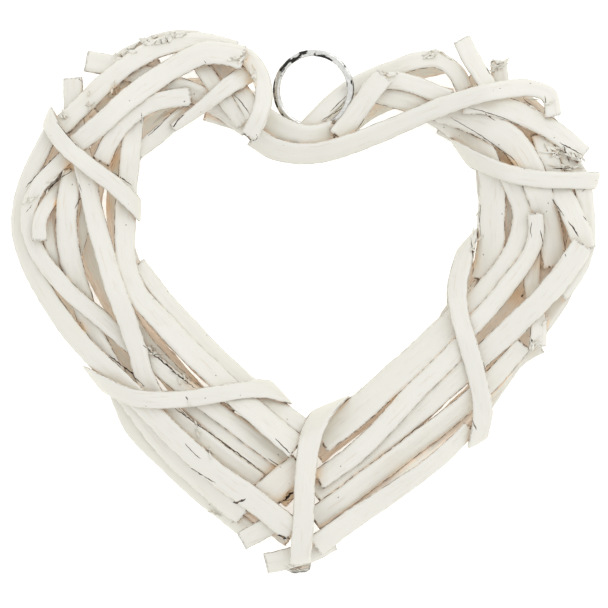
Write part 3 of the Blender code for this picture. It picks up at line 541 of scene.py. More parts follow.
def cut_sections(node):
    """A wrap's cross-sections, cut from its solid by half planes all round its middle."""
    corners, joined, _ = welded(node)
    first, second = np.array([(i, j) for i, others in enumerate(joined) for j in others if i < j]).T
    middle = (corners.min(axis=0) + corners.max(axis=0)) / 2
    plan = corners[:, :2] - corners[:, :2].mean(axis=0)
    chord = np.append(np.linalg.svd(plan, full_matrices=False)[2][0], 0.0)
    across = np.array((-chord[1], chord[0], 0.0))
    local = corners - middle
    sections, widths = [], []
    for turn in np.linspace(0, 2 * math.pi, WRAP_CUTS, endpoint=False) - math.pi / 2:
        outward = math.cos(turn) * chord + math.sin(turn) * np.array((0.0, 0.0, 1.0))
        onward = -math.sin(turn) * chord + math.cos(turn) * np.array((0.0, 0.0, 1.0))
        ahead = local @ onward
        cut = ahead[first] * ahead[second] < 0
        share = ahead[first][cut] / (ahead[first][cut] - ahead[second][cut])
        points = local[first][cut] + share[:, None] * (local[second] - local[first])[cut]
        points = points[points @ outward > 0]
        if len(points) >= CORNERS:
            section = section_of(np.column_stack((points @ across, points @ outward)))
            sections.append(middle + section[:, :1] * across + section[:, 1:] * outward)
            widths.append(np.ptp(points @ across))
    whole = np.array(widths) > WRAP_WHOLE * np.median(widths)
    return np.array(sections)[whole]


def wrap_stations(node):
    """A wrap's cross-sections from end to end, at even steps, with its flats' corners eased."""
    sections = cut_sections(node)
    steps = np.linalg.norm(np.roll(sections, -1, axis=0) - sections, axis=2).mean(axis=1)
    sections = np.roll(sections, -int(steps.argmax()) - 1, axis=0)
    places = lengths_along(sections.mean(axis=1))
    even = np.linspace(0.0, places[-1], int(places[-1] / WRAP_STEP) + 1)
    flat = sections.reshape(len(sections), -1)
    flat = np.column_stack([np.interp(even, places, values) for values in flat.T])
    for _ in range(WRAP_EASING):
        flat[1:-1] = (flat[:-2] + 2 * flat[1:-1] + flat[2:]) / 4
    return flat.reshape(-1, CORNERS, 3)


# Making the canes

def seed_of(name):
    """A piece's own seed, the same in every run."""
    return zlib.crc32(name.encode()) % SEEDS


def waves(places, seed, length):
    """A smooth wavering value between -1 and 1 along a cane."""
    rng = np.random.default_rng(seed)
    total = np.zeros_like(places)
    for share in WAVE_SHARES:
        total += share * np.sin(places * 2 * math.pi / (length * share) + rng.uniform(0, 2 * math.pi))
    return total / sum(WAVE_SHARES)


def smooth_curve(knots, values, places):
    """Values at some places on a smooth curve through the values at its knots."""
    rows = values.reshape(len(knots), -1)
    slopes = np.gradient(rows, knots, axis=0)
    left = np.clip(np.searchsorted(knots, places, side="right") - 1, 0, len(knots) - 2)
    width = np.diff(knots)[left, None]
    t = (places - knots[left])[:, None] / width
    curve = ((2 * t**3 - 3 * t**2 + 1) * rows[left] + (t**3 - 2 * t**2 + t) * width * slopes[left]
             + (3 * t**2 - 2 * t**3) * rows[left + 1] + (t**3 - t**2) * width * slopes[left + 1])
    return curve.reshape(len(places), *values.shape[1:])


def smooth_run(stations, step):
    """The stations run together on a smooth curve, at equal steps, with the length along it."""
    knots = lengths_along(stations.mean(axis=1))
    count = max(CANE_SECTIONS, int(round(knots[-1] / step)) + 1)
    places = np.linspace(0.0, knots[-1], count)
    return smooth_curve(knots, stations, places), places


def willow_section():
    """A split cane's outline: across from -1 to 1 and up from 0 to 1, crown first."""
    across = np.sin(np.linspace(-math.pi / 2, math.pi / 2, CROWN_POINTS))
    bulge = np.sqrt(np.maximum(0.0, 1 - np.abs(across)**CROWN_POWER))
    crown = np.column_stack((across, CROWN_FOOT + (1 - CROWN_FOOT) * bulge))
    return np.concatenate((crown, FLAT_SIDE))


def distance_round(section, width, height):
    """How far each outline point lies from the crown's middle, round either side of the section."""
    ring = np.roll(section, -(CROWN_POINTS // 2), axis=0) * (width, height)
    steps = np.linalg.norm(np.roll(ring, -1, axis=0) - ring, axis=1)
    ahead = np.cumsum(steps) - steps
    signed = np.where(ahead > steps.sum() / 2, ahead - steps.sum(), ahead)
    return np.roll(signed, CROWN_POINTS // 2)


def edge_reach(places, seed, side, waver):
    """How far out a cane's left (0) or right (1) edge stands, as a share of its half width."""
    long, short = EDGE_WAVES[side]
    slow = waver * waves(places, seed + side, long)
    quick = SHORT_WAVE * waver * waves(places, seed + side + SHORT_SEED, short)
    return 1 + slow + quick


def edge_marks(across, rise):
    """How much each point of the willow section counts as an edge."""
    crown, flat = (
        np.clip((np.abs(across) - start) / growth, 0.0, 1.0)
        for start, growth in (CROWN_MARKS, FLAT_MARKS))
    return np.where(rise < CROWN_LEVEL, FLAT_MARK_SHARE * flat, crown)


def cane_surface(stations, seed, step, waver, fullness):
    """A fine cane's corners, a row for each section: places along and round it, and edge marks."""
    run, places = smooth_run(stations, step)
    base = (run[:, 0] + run[:, 1]) / 2
    half = (run[:, 1] - run[:, 0]) / 2
    up = (run[:, 3] + run[:, 4]) / 2 - base
    section = willow_section()
    across, rise = section.T
    left, right = (edge_reach(places, seed, side, waver)[:, None] for side in (0, 1))
    reach = np.where(across < 0, left, right) * across * fullness
    ridge = sum(high * np.sin(across * close + seed * shift) for high, close, shift in RIDGES)
    swell = SWELL * waves(places, seed + SWELL_SEED, SWELL_WAVE)[:, None] + ridge * (1 - across**2)
    height = rise * (1 + np.where(rise > CROWN_LEVEL, swell, 0.0))
    surface = base[:, None] + reach[..., None] * half[:, None] + height[..., None] * up[:, None]
    along = np.repeat(places[:, None], len(section), axis=1)
    size = (np.linalg.norm(half, axis=1).mean(), np.linalg.norm(up, axis=1).mean())
    sideways = np.broadcast_to(distance_round(section, *size), along.shape)
    edge = np.repeat(edge_marks(across, rise)[None, :], len(run), axis=0)
    edge[[0, -1]] = 1.0
    return surface, along, sideways, edge


def ragged_ends(surface, seed, reach):
    """The first and last stations pulled out of line, as a snapped cane's fibres are."""
    rng = np.random.default_rng(seed)
    for end, inner in ((0, 1), (-1, -2)):
        outward = surface[end].mean(axis=0) - surface[inner].mean(axis=0)
        outward /= np.linalg.norm(outward)
        surface[end] += outward * rng.uniform(*RAGGED_RANGE, len(surface[end]))[:, None] * reach
    return surface


def strip_faces(count, sides):
    """Quads between neighbouring stations, and the two ends."""
    i, k = np.meshgrid(np.arange(count - 1), np.arange(sides), indexing="ij")
    m = (k + 1) % sides
    quads = np.stack((i * sides + k, i * sides + m, (i + 1) * sides + m, (i + 1) * sides + k), axis=-1)
    faces = quads.reshape(-1, 4).tolist()
    last = (count - 1) * sides
    return faces + [list(range(sides))[::-1], list(range(last, last + sides))]


def piece_from(name, corners, faces, material):
    """A smooth-shaded piece with its faces turned outwards."""
    mesh = bpy.data.meshes.new(name)
    mesh.from_pydata(corners.tolist(), [], faces)
    whole = bmesh.new()
    whole.from_mesh(mesh)
    bmesh.ops.recalc_face_normals(whole, faces=whole.faces)
    whole.to_mesh(mesh)
    whole.free()
    mesh.shade_smooth()
    mesh.materials.append(material)
    piece = bpy.data.objects.new(name, mesh)
    bpy.context.scene.collection.objects.link(piece)
    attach(piece, "root")
    return piece


def grain_map(mesh, values):
    """A map that runs with the grain, for the wood's pattern."""
    loops = np.empty(len(mesh.loops), int)
    mesh.loops.foreach_get("vertex_index", loops)
    layer = mesh.uv_layers.new(name="grain")
    layer.uv.foreach_set("vector", values[loops].astype(np.float32).ravel())


def store(mesh, name, values):
    """Keep one value for each corner of a mesh, for a material to read."""
    attribute = mesh.attributes.new(name, "FLOAT", "POINT")
    attribute.data.foreach_set("value", np.asarray(values, np.float32).ravel())


def willow_strip(name, stations, step, fullness):
    """A fine cane from its cross-sections: its corners, their grain and their edge marks."""
    settings = bpy.context.scene.wreath_canes
    seed = seed_of(name)
    surface, along, sideways, edge = cane_surface(stations, seed, step, settings.waver, fullness)
    surface = ragged_ends(surface, seed, settings.ragged)
    surface[..., 2] = np.maximum(surface[..., 2], 0.0)
    grain = np.stack((sideways, along), axis=-1) * GRAIN_SCALE + np.mod(seed, GRAIN_STARTS)
    return surface, grain, edge


def willow_piece(name, strips, material, deepest=1.0):
    """One piece made of one or more fine strips."""
    corners, faces, grain, edges, start = [], [], [], [], 0
    for surface, places, edge in strips:
        faces += [[start + i for i in face] for face in strip_faces(*surface.shape[:2])]
        corners.append(surface.reshape(-1, 3))
        grain.append(places.reshape(-1, 2))
        edges.append(edge.ravel())
        start += len(corners[-1])
    piece = piece_from(name, np.concatenate(corners), faces, material)
    grain_map(piece.data, np.concatenate(grain))
    store(piece.data, "edge", np.concatenate(edges))
    dressed.append((piece, deepest))
    return piece


def strip_stations(path, width, thickness):
    """Half-round cross-sections along a path: each row's six corners, the flat side's two first."""
    onward = np.gradient(path, axis=0)
    aside = np.column_stack((onward[:, 1], -onward[:, 0], np.zeros(len(path))))
    aside *= -1 / np.linalg.norm(aside, axis=1)[:, None]
    above = np.cross(aside, onward)
    above *= np.sign(above[:, 2:]) / np.linalg.norm(above, axis=1)[:, None]
    width = np.broadcast_to(width, len(path))[:, None, None]
    place, level = HALF_ROUND.T
    return (path[:, None] + place[None, :, None] * width * aside[:, None]
            + level[None, :, None] * thickness * above[:, None])


def smooth_plan(route, step):
    """Points at even steps on a smooth curve in plan through a route's squares."""
    points = np.array([in_plan(x, y) for x, y in route])
    knots = lengths_along(points)
    places = np.linspace(0, knots[-1], max(PLAN_POINTS, int(knots[-1] / step)))
    return smooth_curve(knots, points, places)


def tucked_path(tree, route, thickness):
    """A path in the hollow that keeps right under the canes in front of it."""
    plan = smooth_plan(route, TUCKED_STEP)
    roof = []
    for x, y in plan:
        found = tree.ray_cast(Vector((x, y, HOLLOW_HEIGHT)), Vector((0, 0, 1)))[0]
        roof.append(found.z if found is not None else math.nan)
    roof = np.array(roof)
    known = ~np.isnan(roof)
    places = np.arange(len(roof))
    roof = np.interp(places, places[known], roof[known])
    lowest = np.array([roof[max(0, i - TUCKED_NEAR):i + TUCKED_NEAR + 1].min() for i in places])
    for _ in range(TUCKED_EASING):
        lowest = np.convolve(np.pad(lowest, 1, mode="edge"), (0.25, 0.5, 0.25), mode="valid")
    return np.column_stack((plan, lowest - thickness / 2 - TUCKED_GAP))


def woven_tree():
    """The dressed canes together, for finding what lies above or below a place."""
    corners, faces, start = [], [], 0
    for piece, _ in dressed:
        corners += [vert.co.copy() for vert in piece.data.vertices]
        faces += [[start + i for i in face.vertices] for face in piece.data.polygons]
        start = len(corners)
    return BVHTree.FromPolygons(corners, faces)


def top_at(tree, x, y):
    """The highest point of the canes at a place in plan, or nothing beside them."""
    return tree.ray_cast(Vector((x, y, SIGHT_HEIGHT)), Vector((0, 0, -1)))[0]


def torn_strip(tree, rng, name, line, length, width):
    """A torn fibre that stands off the canes near a line, or nothing where it would miss them."""
    at = int(rng.integers(len(line)))
    way = line[min(at + 1, len(line) - 1)] - line[max(at - 1, 0)]
    turn = math.atan2(way[1], way[0]) + rng.normal(0, TORN_TURN)
    reach = length * rng.uniform(*TORN_LENGTHS) / 2
    middle = line[at] + rng.normal(0, TORN_SPREAD, 2)
    found = top_at(tree, *middle)
    if found is None:
        return None
    share = np.linspace(-1, 1, TORN_SECTIONS)
    rise = rng.uniform(*TORN_SLOPES) * share + TORN_LIFT + TORN_CURL * share**2
    plan = middle + share[:, None] * reach * np.array((math.cos(turn), math.sin(turn)))
    taper = (1 - TORN_TAPER * np.abs(share)**3) * rng.uniform(*TORN_WIDTHS, TORN_SECTIONS)
    path = np.column_stack((plan, found.z + rise))
    stations = strip_stations(path, width * taper, rng.uniform(*TORN_THICKNESSES))
    surface, grain, edge = willow_strip(name, stations, TORN_STEP, 1.0)
    return surface, grain, edge * TORN_EDGE


def dress_canes(nodes, material, fullness=1.0):
    """Replace each cane's solid with its fine surface."""
    settings = bpy.context.scene.wreath_canes
    for node in nodes:
        stations = wrap_stations(node) if node in WRAPS else stations_of(node)
        wider = FULLER.get(node, fullness)
        name = node + "_willow"
        piece = willow_piece(name, [willow_strip(name, stations, settings.step, wider)], material)
        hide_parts(node)


def dress_front(nodes):
    """Dress canes of the heart's front, which are wider than their solids."""
    fullness = bpy.context.scene.wreath_canes.fullness
    dress_canes(nodes, finish_of("white"), fullness)


def hemisphere(count):
    """Directions spread evenly over a half sphere round +Z, more of them near the pole."""
    turn = np.arange(count) * GOLDEN_TURN
    rise = np.sqrt(1 - (np.arange(count) + 0.5) / count)
    flat = np.sqrt(1 - rise**2)
    return np.column_stack((flat * np.cos(turn), flat * np.sin(turn), rise))


def shelter_of(corners, normals, tree, reach, rays):
    """For each corner, the share of the open half space round it that nearby canes close off."""
    pattern = hemisphere(rays)
    helper = np.where(np.abs(normals[:, 2:]) < UPRIGHT, (0.0, 0.0, 1.0), (1.0, 0.0, 0.0))
    first = np.cross(normals, helper)
    first /= np.linalg.norm(first, axis=1)[:, None]
    second = np.cross(normals, first)
    shelter = np.zeros(len(corners))
    for i, (corner, normal) in enumerate(zip(corners, normals)):
        start = Vector(corner + normal * RAY_START)
        ways = pattern @ np.array((first[i], second[i], normal))
        closed = 0.0
        for way in ways:
            distance = tree.ray_cast(start, Vector(way), reach)[3]
            if distance is not None:
                closed += 1.0 - FAR_LOSS * distance / reach
        shelter[i] = closed / rays
    return shelter


def stains_of(places):
    """How stained each corner is."""
    total = np.zeros(len(places))
    for x, y, radius, strength in STAINS:
        away = np.linalg.norm(places[:, :2] - in_plan(x, y), axis=1) / (radius * GRID)
        total = np.maximum(total, strength * np.exp(-away**2))
    return total


def paint_canes():
    """Store on every cane how sheltered each corner is, for the paint and the painted shade to read."""
    settings = bpy.context.scene.wreath_paint
    tree = woven_tree()
    for piece, deepest in dressed:
        mesh = piece.data
        places = np.array([vert.co for vert in mesh.vertices])
        normals = np.array([vert.normal for vert in mesh.vertices])
        values = shelter_of(places, normals, tree, settings.shelter_reach, settings.rays)
        store(mesh, "shelter", np.minimum(values, deepest))
        store(mesh, "stain", stains_of(places))


# The ring and the cracks

def ring_surface():
    """The split ring's wire: two turns that lie on each other, with a step between them."""
    solid = np.array([vert.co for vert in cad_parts[RING].data.vertices])
    low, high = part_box(RING)
    centre = (np.array(low) + np.array(high)) / 2
    flat = np.column_stack((solid[:, :2] - centre[:2], np.ones(len(solid))))
    slope_x, slope_y, level = np.linalg.lstsq(flat, solid[:, 2], rcond=None)[0]
    normal = np.array((-slope_x, -slope_y, 1.0))
    normal /= np.linalg.norm(normal)
    wide, tall = RING_WIRE
    radius = (high[0] - low[0]) / 2 - wide / 2
    turn = np.linspace(0.0, RING_TURNS * 2 * math.pi, RING_CUTS)
    angle = turn + math.radians(RING_START)
    ways = np.column_stack((np.cos(angle), np.sin(angle)))
    plan = centre[:2] + radius * ways
    z = level + (plan - centre[:2]) @ (slope_x, slope_y)
    step = 1 / (1 + np.exp(-(turn / turn[-1] - 0.5) * RING_STEP)) - 0.5
    path = np.column_stack((plan, z)) + normal * (step * RING_LAY * tall)[:, None]
    outward = np.column_stack((ways, ways @ (slope_x, slope_y)))
    outward /= np.linalg.norm(outward, axis=1)[:, None]
    corner = np.arange(RING_SIDES) * 2 * math.pi / RING_SIDES
    rounded, lifted = (np.sign(v) * np.abs(v)**RING_POWER for v in (np.cos(corner), np.sin(corner)))
    surface = (path[:, None] + (wide / 2 * rounded)[None, :, None] * outward[:, None]
               + (tall / 2 * lifted)[None, :, None] * normal)
    grain = np.stack(np.broadcast_arrays(wide / 2 * rounded, (angle * radius)[:, None]), axis=-1)
    return surface, grain * GRAIN_SCALE, reflection_streaks_of(np.degrees(angle)[:, None], rounded)


def reflection_streaks_of(angle, place):
    """How strongly dark reflections are painted on the wire: by angle in degrees, and place from its
    inside to its outside.
    """
    total = np.zeros(np.broadcast_shapes(angle.shape, place.shape))
    for start, end, side, strength in REFLECTION_STREAKS:
        off = np.abs((angle - (start + end) / 2 + 180) % 360 - 180) / ((end - start) / 2)
        lengthwise = np.clip((REFLECTION_END - off) / REFLECTION_FADE, 0, 1)
        sideways = np.clip(REFLECTION_MIDDLE - REFLECTION_LOSS * np.abs(place - side), 0, 1)
        total = np.maximum(total, strength * lengthwise * sideways)
    return total


def laid_route(tree, route):
    """A route in plan, in the frame's squares, laid on the canes that it passes over."""
    points = np.array([in_plan(x, y) for x, y in route])
    knots = lengths_along(points)
    places = np.linspace(0, knots[-1], max(CRACK_POINTS, int(knots[-1] / CRACK_STEP)))
    path = []
    for x, y in zip(*(np.interp(places, knots, values) for values in points.T)):
        found = top_at(tree, x, y)
        if found is not None:
            path.append(found)
    return np.array(path)


def sliver_surface(path, width, seed):
    """A thin dark sliver along one of the listed cracks and seams, pointed at both ends and sunk into the
    cane; along the seams it is painted shade.
    """
    rng = np.random.default_rng(seed)
    onward = np.gradient(path[:, :2], axis=0)
    aside = np.column_stack((-onward[:, 1], onward[:, 0], np.zeros(len(path))))
    aside /= np.linalg.norm(aside, axis=1)[:, None] + TINY
    swell = np.sqrt(np.sin(np.linspace(0, math.pi, len(path))).clip(0))
    half = width / 2 * (CRACK_TIP + (1 - CRACK_TIP) * swell) * rng.uniform(*CRACK_WIDTHS, len(path))
    path = path + aside * rng.uniform(-CRACK_WAVER, CRACK_WAVER, len(path))[:, None] * width
    up = np.array((0.0, 0.0, 1.0))
    left, right = (path + side * aside * half[:, None] + up * CRACK_EDGE for side in (-1, 1))
    return np.stack((left, path - up * CRACK_DEPTH, right, path + up * CRACK_RIDGE), axis=1)


# Materials

def new_group(name, inputs, outputs):
    """An empty shader node group with the given sockets, and its input and output nodes."""
    group = bpy.data.node_groups.new(name, "ShaderNodeTree")
    for socket, kind, value in inputs:
        made = group.interface.new_socket(socket, in_out="INPUT", socket_type=kind)
        made.default_value = value
    for socket, kind in outputs:
        group.interface.new_socket(socket, in_out="OUTPUT", socket_type=kind)
    return group, group.nodes.new("NodeGroupInput"), group.nodes.new("NodeGroupOutput")


class Wiring:
    """Short ways to add nodes to a tree and join them."""

    def __init__(self, tree):
        self.tree = tree

    def add(self, kind, **settings):
        node = self.tree.nodes.new(kind)
        for key, value in settings.items():
            setattr(node, key, value)
        return node

    def join(self, source, target):
        self.tree.links.new(source, target)

    def put(self, value, socket):
        if isinstance(value, bpy.types.NodeSocket):
            self.join(value, socket)
        else:
            socket.default_value = value

    def maths(self, how, first, second, clamp=False):
        node = self.add("ShaderNodeMath", operation=how, use_clamp=clamp)
        self.put(first, node.inputs[0])
        self.put(second, node.inputs[1])
        return node.outputs[0]

    def ramp(self, value, low, high, start=0.0, end=1.0):
        node = self.add("ShaderNodeMapRange", interpolation_type="SMOOTHSTEP")
        for socket, given in zip(node.inputs[:5], (value, low, high, start, end)):
            self.put(given, socket)
        return node.outputs[0]

    def blend(self, share, first, second):
        node = self.add("ShaderNodeMix", data_type="RGBA")
        for number, given in zip(MIX_INPUTS, (share, first, second)):
            self.put(given, node.inputs[number])
        return node.outputs[MIX_OUTPUT]

    def noise(self, place, scale, detail, rough):
        node = self.add("ShaderNodeTexNoise", noise_dimensions="3D")
        self.join(place, node.inputs["Vector"])
        node.inputs["Scale"].default_value = scale
        node.inputs["Detail"].default_value = detail
        node.inputs["Roughness"].default_value = rough
        return node.outputs["Fac"]

    def stretched(self, place, across, along):
        node = self.add("ShaderNodeMapping")
        self.join(place, node.inputs["Vector"])
        node.inputs["Scale"].default_value = (across, along, 1.0)
        return node.outputs["Vector"]

    def grain_place(self):
        return self.add("ShaderNodeUVMap", uv_map="grain").outputs["UV"]

    def stored(self, name):
        return self.add("ShaderNodeAttribute", attribute_name=name).outputs["Fac"]

    def up_part(self, vector):
        node = self.add("ShaderNodeSeparateXYZ")
        self.join(vector, node.inputs[0])
        return node.outputs["Z"]


def speck_mask(wire, place):
    """Small dark specks with uneven edges, in some places only."""
    cells = wire.add("ShaderNodeTexVoronoi", voronoi_dimensions="2D", feature="F1")
    wire.join(wire.stretched(place, *SPECK_SPACING), cells.inputs["Vector"])
    cells.inputs["Scale"].default_value = 1.0
    wobble = wire.noise(place, scale=14.0, detail=2.0, rough=0.7)
    radius = wire.maths("ADD", cells.outputs["Distance"], wire.maths("MULTIPLY", wobble, SPECK_WOBBLE))
    dots = wire.ramp(radius, *SPECK_SIZES, start=1.0, end=0.0)
    few = wire.ramp(wire.noise(place, scale=0.8, detail=1.0, rough=0.5), *SPECK_LEVELS)
    return wire.maths("MULTIPLY", dots, few)


def grain_group():
    """Fibres, pores, patches, specks, streaks and edge dashes that run with a cane's own grain."""
    group, _, leave = new_group(
        "willow grain", [], [(mask, "NodeSocketFloat") for mask in MASKS + ("Relief",)])
    wire = Wiring(group)
    place = wire.grain_place()
    patterns = {"Specks": speck_mask(wire, place)}
    for name, (closeness, noise, levels) in GRAIN_NOISES.items():
        value = wire.noise(wire.stretched(place, *closeness), *noise)
        patterns[name] = wire.ramp(value, *levels) if levels else value
    relief = 0.0
    for name, height in RELIEF.items():
        relief = wire.maths("ADD", relief, wire.maths("MULTIPLY", patterns[name], height))
    for mask in MASKS:
        wire.join(patterns[mask], leave.inputs[mask])
    wire.join(relief, leave.inputs["Relief"])
    return group


def wash_group():
    """White wash over bare willow: it thins out where the cane is sheltered and at its edges.  It also
    paints shade: near-black where canes press on each other, darker edge lines where sheltered, and a
    greyer wash deep in the heart and on faces that don't look up.
    """
    group, enter, leave = new_group(
        "white wash and shade",
        [(name, "NodeSocketColor", WHITE) for name in COLOURS]
        + [("Cover", "NodeSocketFloat", 0.5)] + [(name, "NodeSocketFloat", 0.0) for name in MASKS],
        [("Colour", "NodeSocketColor"), ("Bare", "NodeSocketFloat")])
    wire = Wiring(group)
    given = enter.outputs
    shelter = wire.stored("shelter")
    edge = wire.stored("edge")
    ragged = wire.maths("MULTIPLY", wire.maths("SUBTRACT", given["Fibres"], 0.5), RAGGED_WEAR)
    felt = wire.maths("ADD", shelter, ragged)
    felt = wire.maths("ADD", felt, wire.maths("MULTIPLY", edge, EDGE_WEAR))
    bare = wire.ramp(felt, given["Cover"], wire.maths("ADD", given["Cover"], WEAR_RANGE))
    bare = wire.maths("MAXIMUM", bare, wire.maths("MULTIPLY", given["Pores"], PORE_WEAR))
    # The thin paint's colour stands both for thin paint in patches and for painted shade where other
    # canes shelter a cane
    sparse = wire.maths("ADD", given["Patches"], wire.maths("MULTIPLY", shelter, SHELTER_THINNING_AND_SHADE))
    height = wire.up_part(wire.add("ShaderNodeTexCoord").outputs["Object"])
    facing = wire.up_part(wire.add("ShaderNodeNewGeometry").outputs["Normal"])
    # Painted shade: the same greyer colour deep in the heart and on faces that don't look up
    thin = wire.maths("MAXIMUM", wire.ramp(height, *SHADE_BY_HEIGHT), wire.ramp(facing, *SHADE_BY_TILT))
    thin = wire.maths("MAXIMUM", wire.ramp(sparse, *THIN_BY_PATCHES), thin)
    paint = wire.blend(thin, given["Paint"], given["Thin Paint And Shade"])
    streaked = wire.maths("MULTIPLY", given["Streaks"], STREAK_STRENGTH)
    paint = wire.blend(streaked, paint, given["Dark Wood"])
    wood = wire.blend(wire.ramp(given["Fibres"], *DARK_BY_FIBRES), given["Wood"], given["Dark Wood"])
    colour = wire.blend(bare, paint, wood)
    stain = wire.ramp(given["Fibres"], *STAIN_BY_FIBRES)
    stain = wire.maths("MULTIPLY", wire.stored("stain"), stain, clamp=True)
    stain = wire.maths("MULTIPLY", stain, wire.ramp(shelter, *STAIN_BY_SHELTER))
    colour = wire.blend(stain, colour, given["Stain"])
    # Dark broken lines at the canes' edges: partly the wood's own, partly painted shade that grows where
    # other canes shelter a cane
    line = wire.maths("MULTIPLY", wire.ramp(edge, *LINE_BY_EDGE), given["Dashes"])
    line = wire.maths("MULTIPLY", line, wire.ramp(shelter, *LINE_SHADE_BY_SHELTER))
    line = wire.maths("MAXIMUM", line, given["Specks"])
    colour = wire.blend(line, colour, given["Line"])
    # Painted shade: the contact colour, near-black, where other canes close a cane in most
    colour = wire.blend(wire.ramp(shelter, *CONTACT_SHADE_BY_SHELTER), colour, given["Contact Shade"])
    wire.join(colour, leave.inputs["Colour"])
    wire.join(bare, leave.inputs["Bare"])
    return group


def new_material(name):
    """A material with its wiring and its shader."""
    material = bpy.data.materials.new(name)
    material.use_nodes = True
    return material, Wiring(material.node_tree), material.node_tree.nodes["Principled BSDF"]


def cane_material(name, cover, glow, line, grain, wash):
    """A white-washed cane.  Cover is how much shelter the paint takes before wood shows.  The cane glows
    a little in its own colour, as painted light.
    """
    paint = bpy.context.scene.wreath_paint
    material, wire, shader = new_material(name)
    fibre = wire.add("ShaderNodeGroup", node_tree=grain)
    coat = wire.add("ShaderNodeGroup", node_tree=wash)
    colours = (paint.white, paint.thin, paint.wood, paint.dark_wood, paint.contact_shade, line, paint.stain)
    for socket, colour in zip(COLOURS, colours):
        coat.inputs[socket].default_value = (*colour, 1)
    coat.inputs["Cover"].default_value = cover
    for mask in MASKS:
        wire.join(fibre.outputs[mask], coat.inputs[mask])
    wire.join(coat.outputs["Colour"], shader.inputs["Base Color"])
    # Painted light: the canes glow in their own colour, standing in for the light they throw on each
    # other
    wire.join(coat.outputs["Colour"], shader.inputs["Emission Color"])
    shader.inputs["Emission Strength"].default_value = glow
    wire.join(wire.ramp(coat.outputs["Bare"], *ROUGHNESS_BY_BARENESS), shader.inputs["Roughness"])
    bump = wire.add("ShaderNodeBump")
    bump.inputs["Strength"].default_value = BUMP_STRENGTH
    bump.inputs["Distance"].default_value = BUMP_HEIGHT
    wire.join(fibre.outputs["Relief"], bump.inputs["Height"])
    wire.join(bump.outputs["Normal"], shader.inputs["Normal"])
    return material


def metal_material():
    """Bright plated wire, a little scuffed, with dark reflections painted on it in places."""
    material, wire, shader = new_material("ring_plating")
    place = wire.add("ShaderNodeTexCoord").outputs["Object"]
    scuffs = wire.noise(place, scale=900.0, detail=4.0, rough=0.7)
    plating = wire.blend(wire.ramp(scuffs, *SCUFF_LEVELS), PLATING, SCUFFED_PLATING)
    drawn = wire.stretched(wire.grain_place(), across=9.0, along=2.2)
    # Painted reflection: dark streaks along the wire at the listed places
    reflection_streak = wire.maths("MULTIPLY", wire.stored("reflection_streak"), REFLECTION_SHARE)
    reflection_mix = wire.maths("ADD", wire.noise(drawn, scale=1.6, detail=3.0, rough=0.6), reflection_streak)
    colour = wire.blend(wire.ramp(reflection_mix, *REFLECTION_LEVELS), plating, DARK_REFLECTION)
    wire.join(colour, shader.inputs["Base Color"])
    shader.inputs["Metallic"].default_value = 1.0
    wire.join(wire.ramp(scuffs, *ROUGHNESS_BY_SCUFFS), shader.inputs["Roughness"])
    return material


def crack_and_shade_material():
    """Near-black with dusty brown in places: the depth of a crack, and painted shade along the seams
    between canes.
    """
    material, wire, shader = new_material("crack_shadow")
    place = wire.add("ShaderNodeTexCoord").outputs["Object"]
    dust = wire.ramp(wire.noise(place, scale=700.0, detail=3.0, rough=0.6), *DUST_LEVELS)
    wire.join(wire.blend(dust, CRACK_SHADOW, CRACK_DUST), shader.inputs["Base Color"])
    shader.inputs["Roughness"].default_value = CRACK_ROUGHNESS
    return material


# The materials by their short names
finishes = {}


def finish_of(name):
    """One of the materials, all of which are made at the first call."""
    if not finishes:
        grain, wash = grain_group(), wash_group()
        paint = bpy.context.scene.wreath_paint
        finishes["white"] = cane_material(
            "white_washed_willow", paint.cover, paint.glow, paint.line, grain, wash)
        finishes["back"] = cane_material(
            "thinly_washed_willow", paint.cover_behind, paint.glow_behind, paint.line_behind,
            grain, wash)
        finishes["ring"] = metal_material()
        finishes["crack_and_shade"] = crack_and_shade_material()
    return finishes[name]


# The stage

def lay_floor(colour):
    """A wide floor of plain paper just below the heart."""
    mesh = bpy.data.meshes.new("floor")
    corners = [(x * FLOOR_REACH, y * FLOOR_REACH, 0) for x, y in ((-1, -1), (1, -1), (1, 1), (-1, 1))]
    mesh.from_pydata(corners, [], [(0, 1, 2, 3)])
    material, _, shader = new_material("paper")
    shader.inputs["Base Color"].default_value = (*colour, 1)
    shader.inputs["Roughness"].default_value = FLOOR_ROUGHNESS
    shader.inputs["Emission Color"].default_value = WHITE
    shader.inputs["Emission Strength"].default_value = FLOOR_GLOW
    mesh.materials.append(material)
    floor = bpy.data.objects.new("floor", mesh)
    floor.location.z = CAD_BOX[0][2] - FLOOR_DROP
    bpy.context.scene.collection.objects.link(floor)


def hang_lights(sky):
    """Even white light from all round, and a soft window above the heart's upper right."""
    world = bpy.data.worlds.new("studio")
    world.use_nodes = True
    background = world.node_tree.nodes["Background"]
    background.inputs["Color"].default_value = WHITE
    background.inputs["Strength"].default_value = sky
    bpy.context.scene.world = world
    lamp = bpy.data.lights.new("window", "AREA")
    lamp.energy = WINDOW_POWER
    lamp.size = WINDOW_SIZE
    window = bpy.data.objects.new("window", lamp)
    window.location = WINDOW_PLACE
    window.rotation_euler = (-window.location).to_track_quat("-Z", "Y").to_euler()
    bpy.context.scene.collection.objects.link(window)


def stand_camera(distance):
    """A camera that looks straight down on the photograph's frame."""
    eye = bpy.data.cameras.new("camera")
    x, y = in_plan(FRAME_SPAN / 2, FRAME_SPAN / 2)
    eye.lens = eye.sensor_width * distance / (FRAME_SPAN * GRID)
    eye.clip_end = FAR_CLIP
    camera = bpy.data.objects.new("camera", eye)
    camera.location = (x, y, CAD_BOX[1][2] * FRAMED_HEIGHT + distance)
    bpy.context.scene.collection.objects.link(camera)
    bpy.context.scene.camera = camera


# Settings

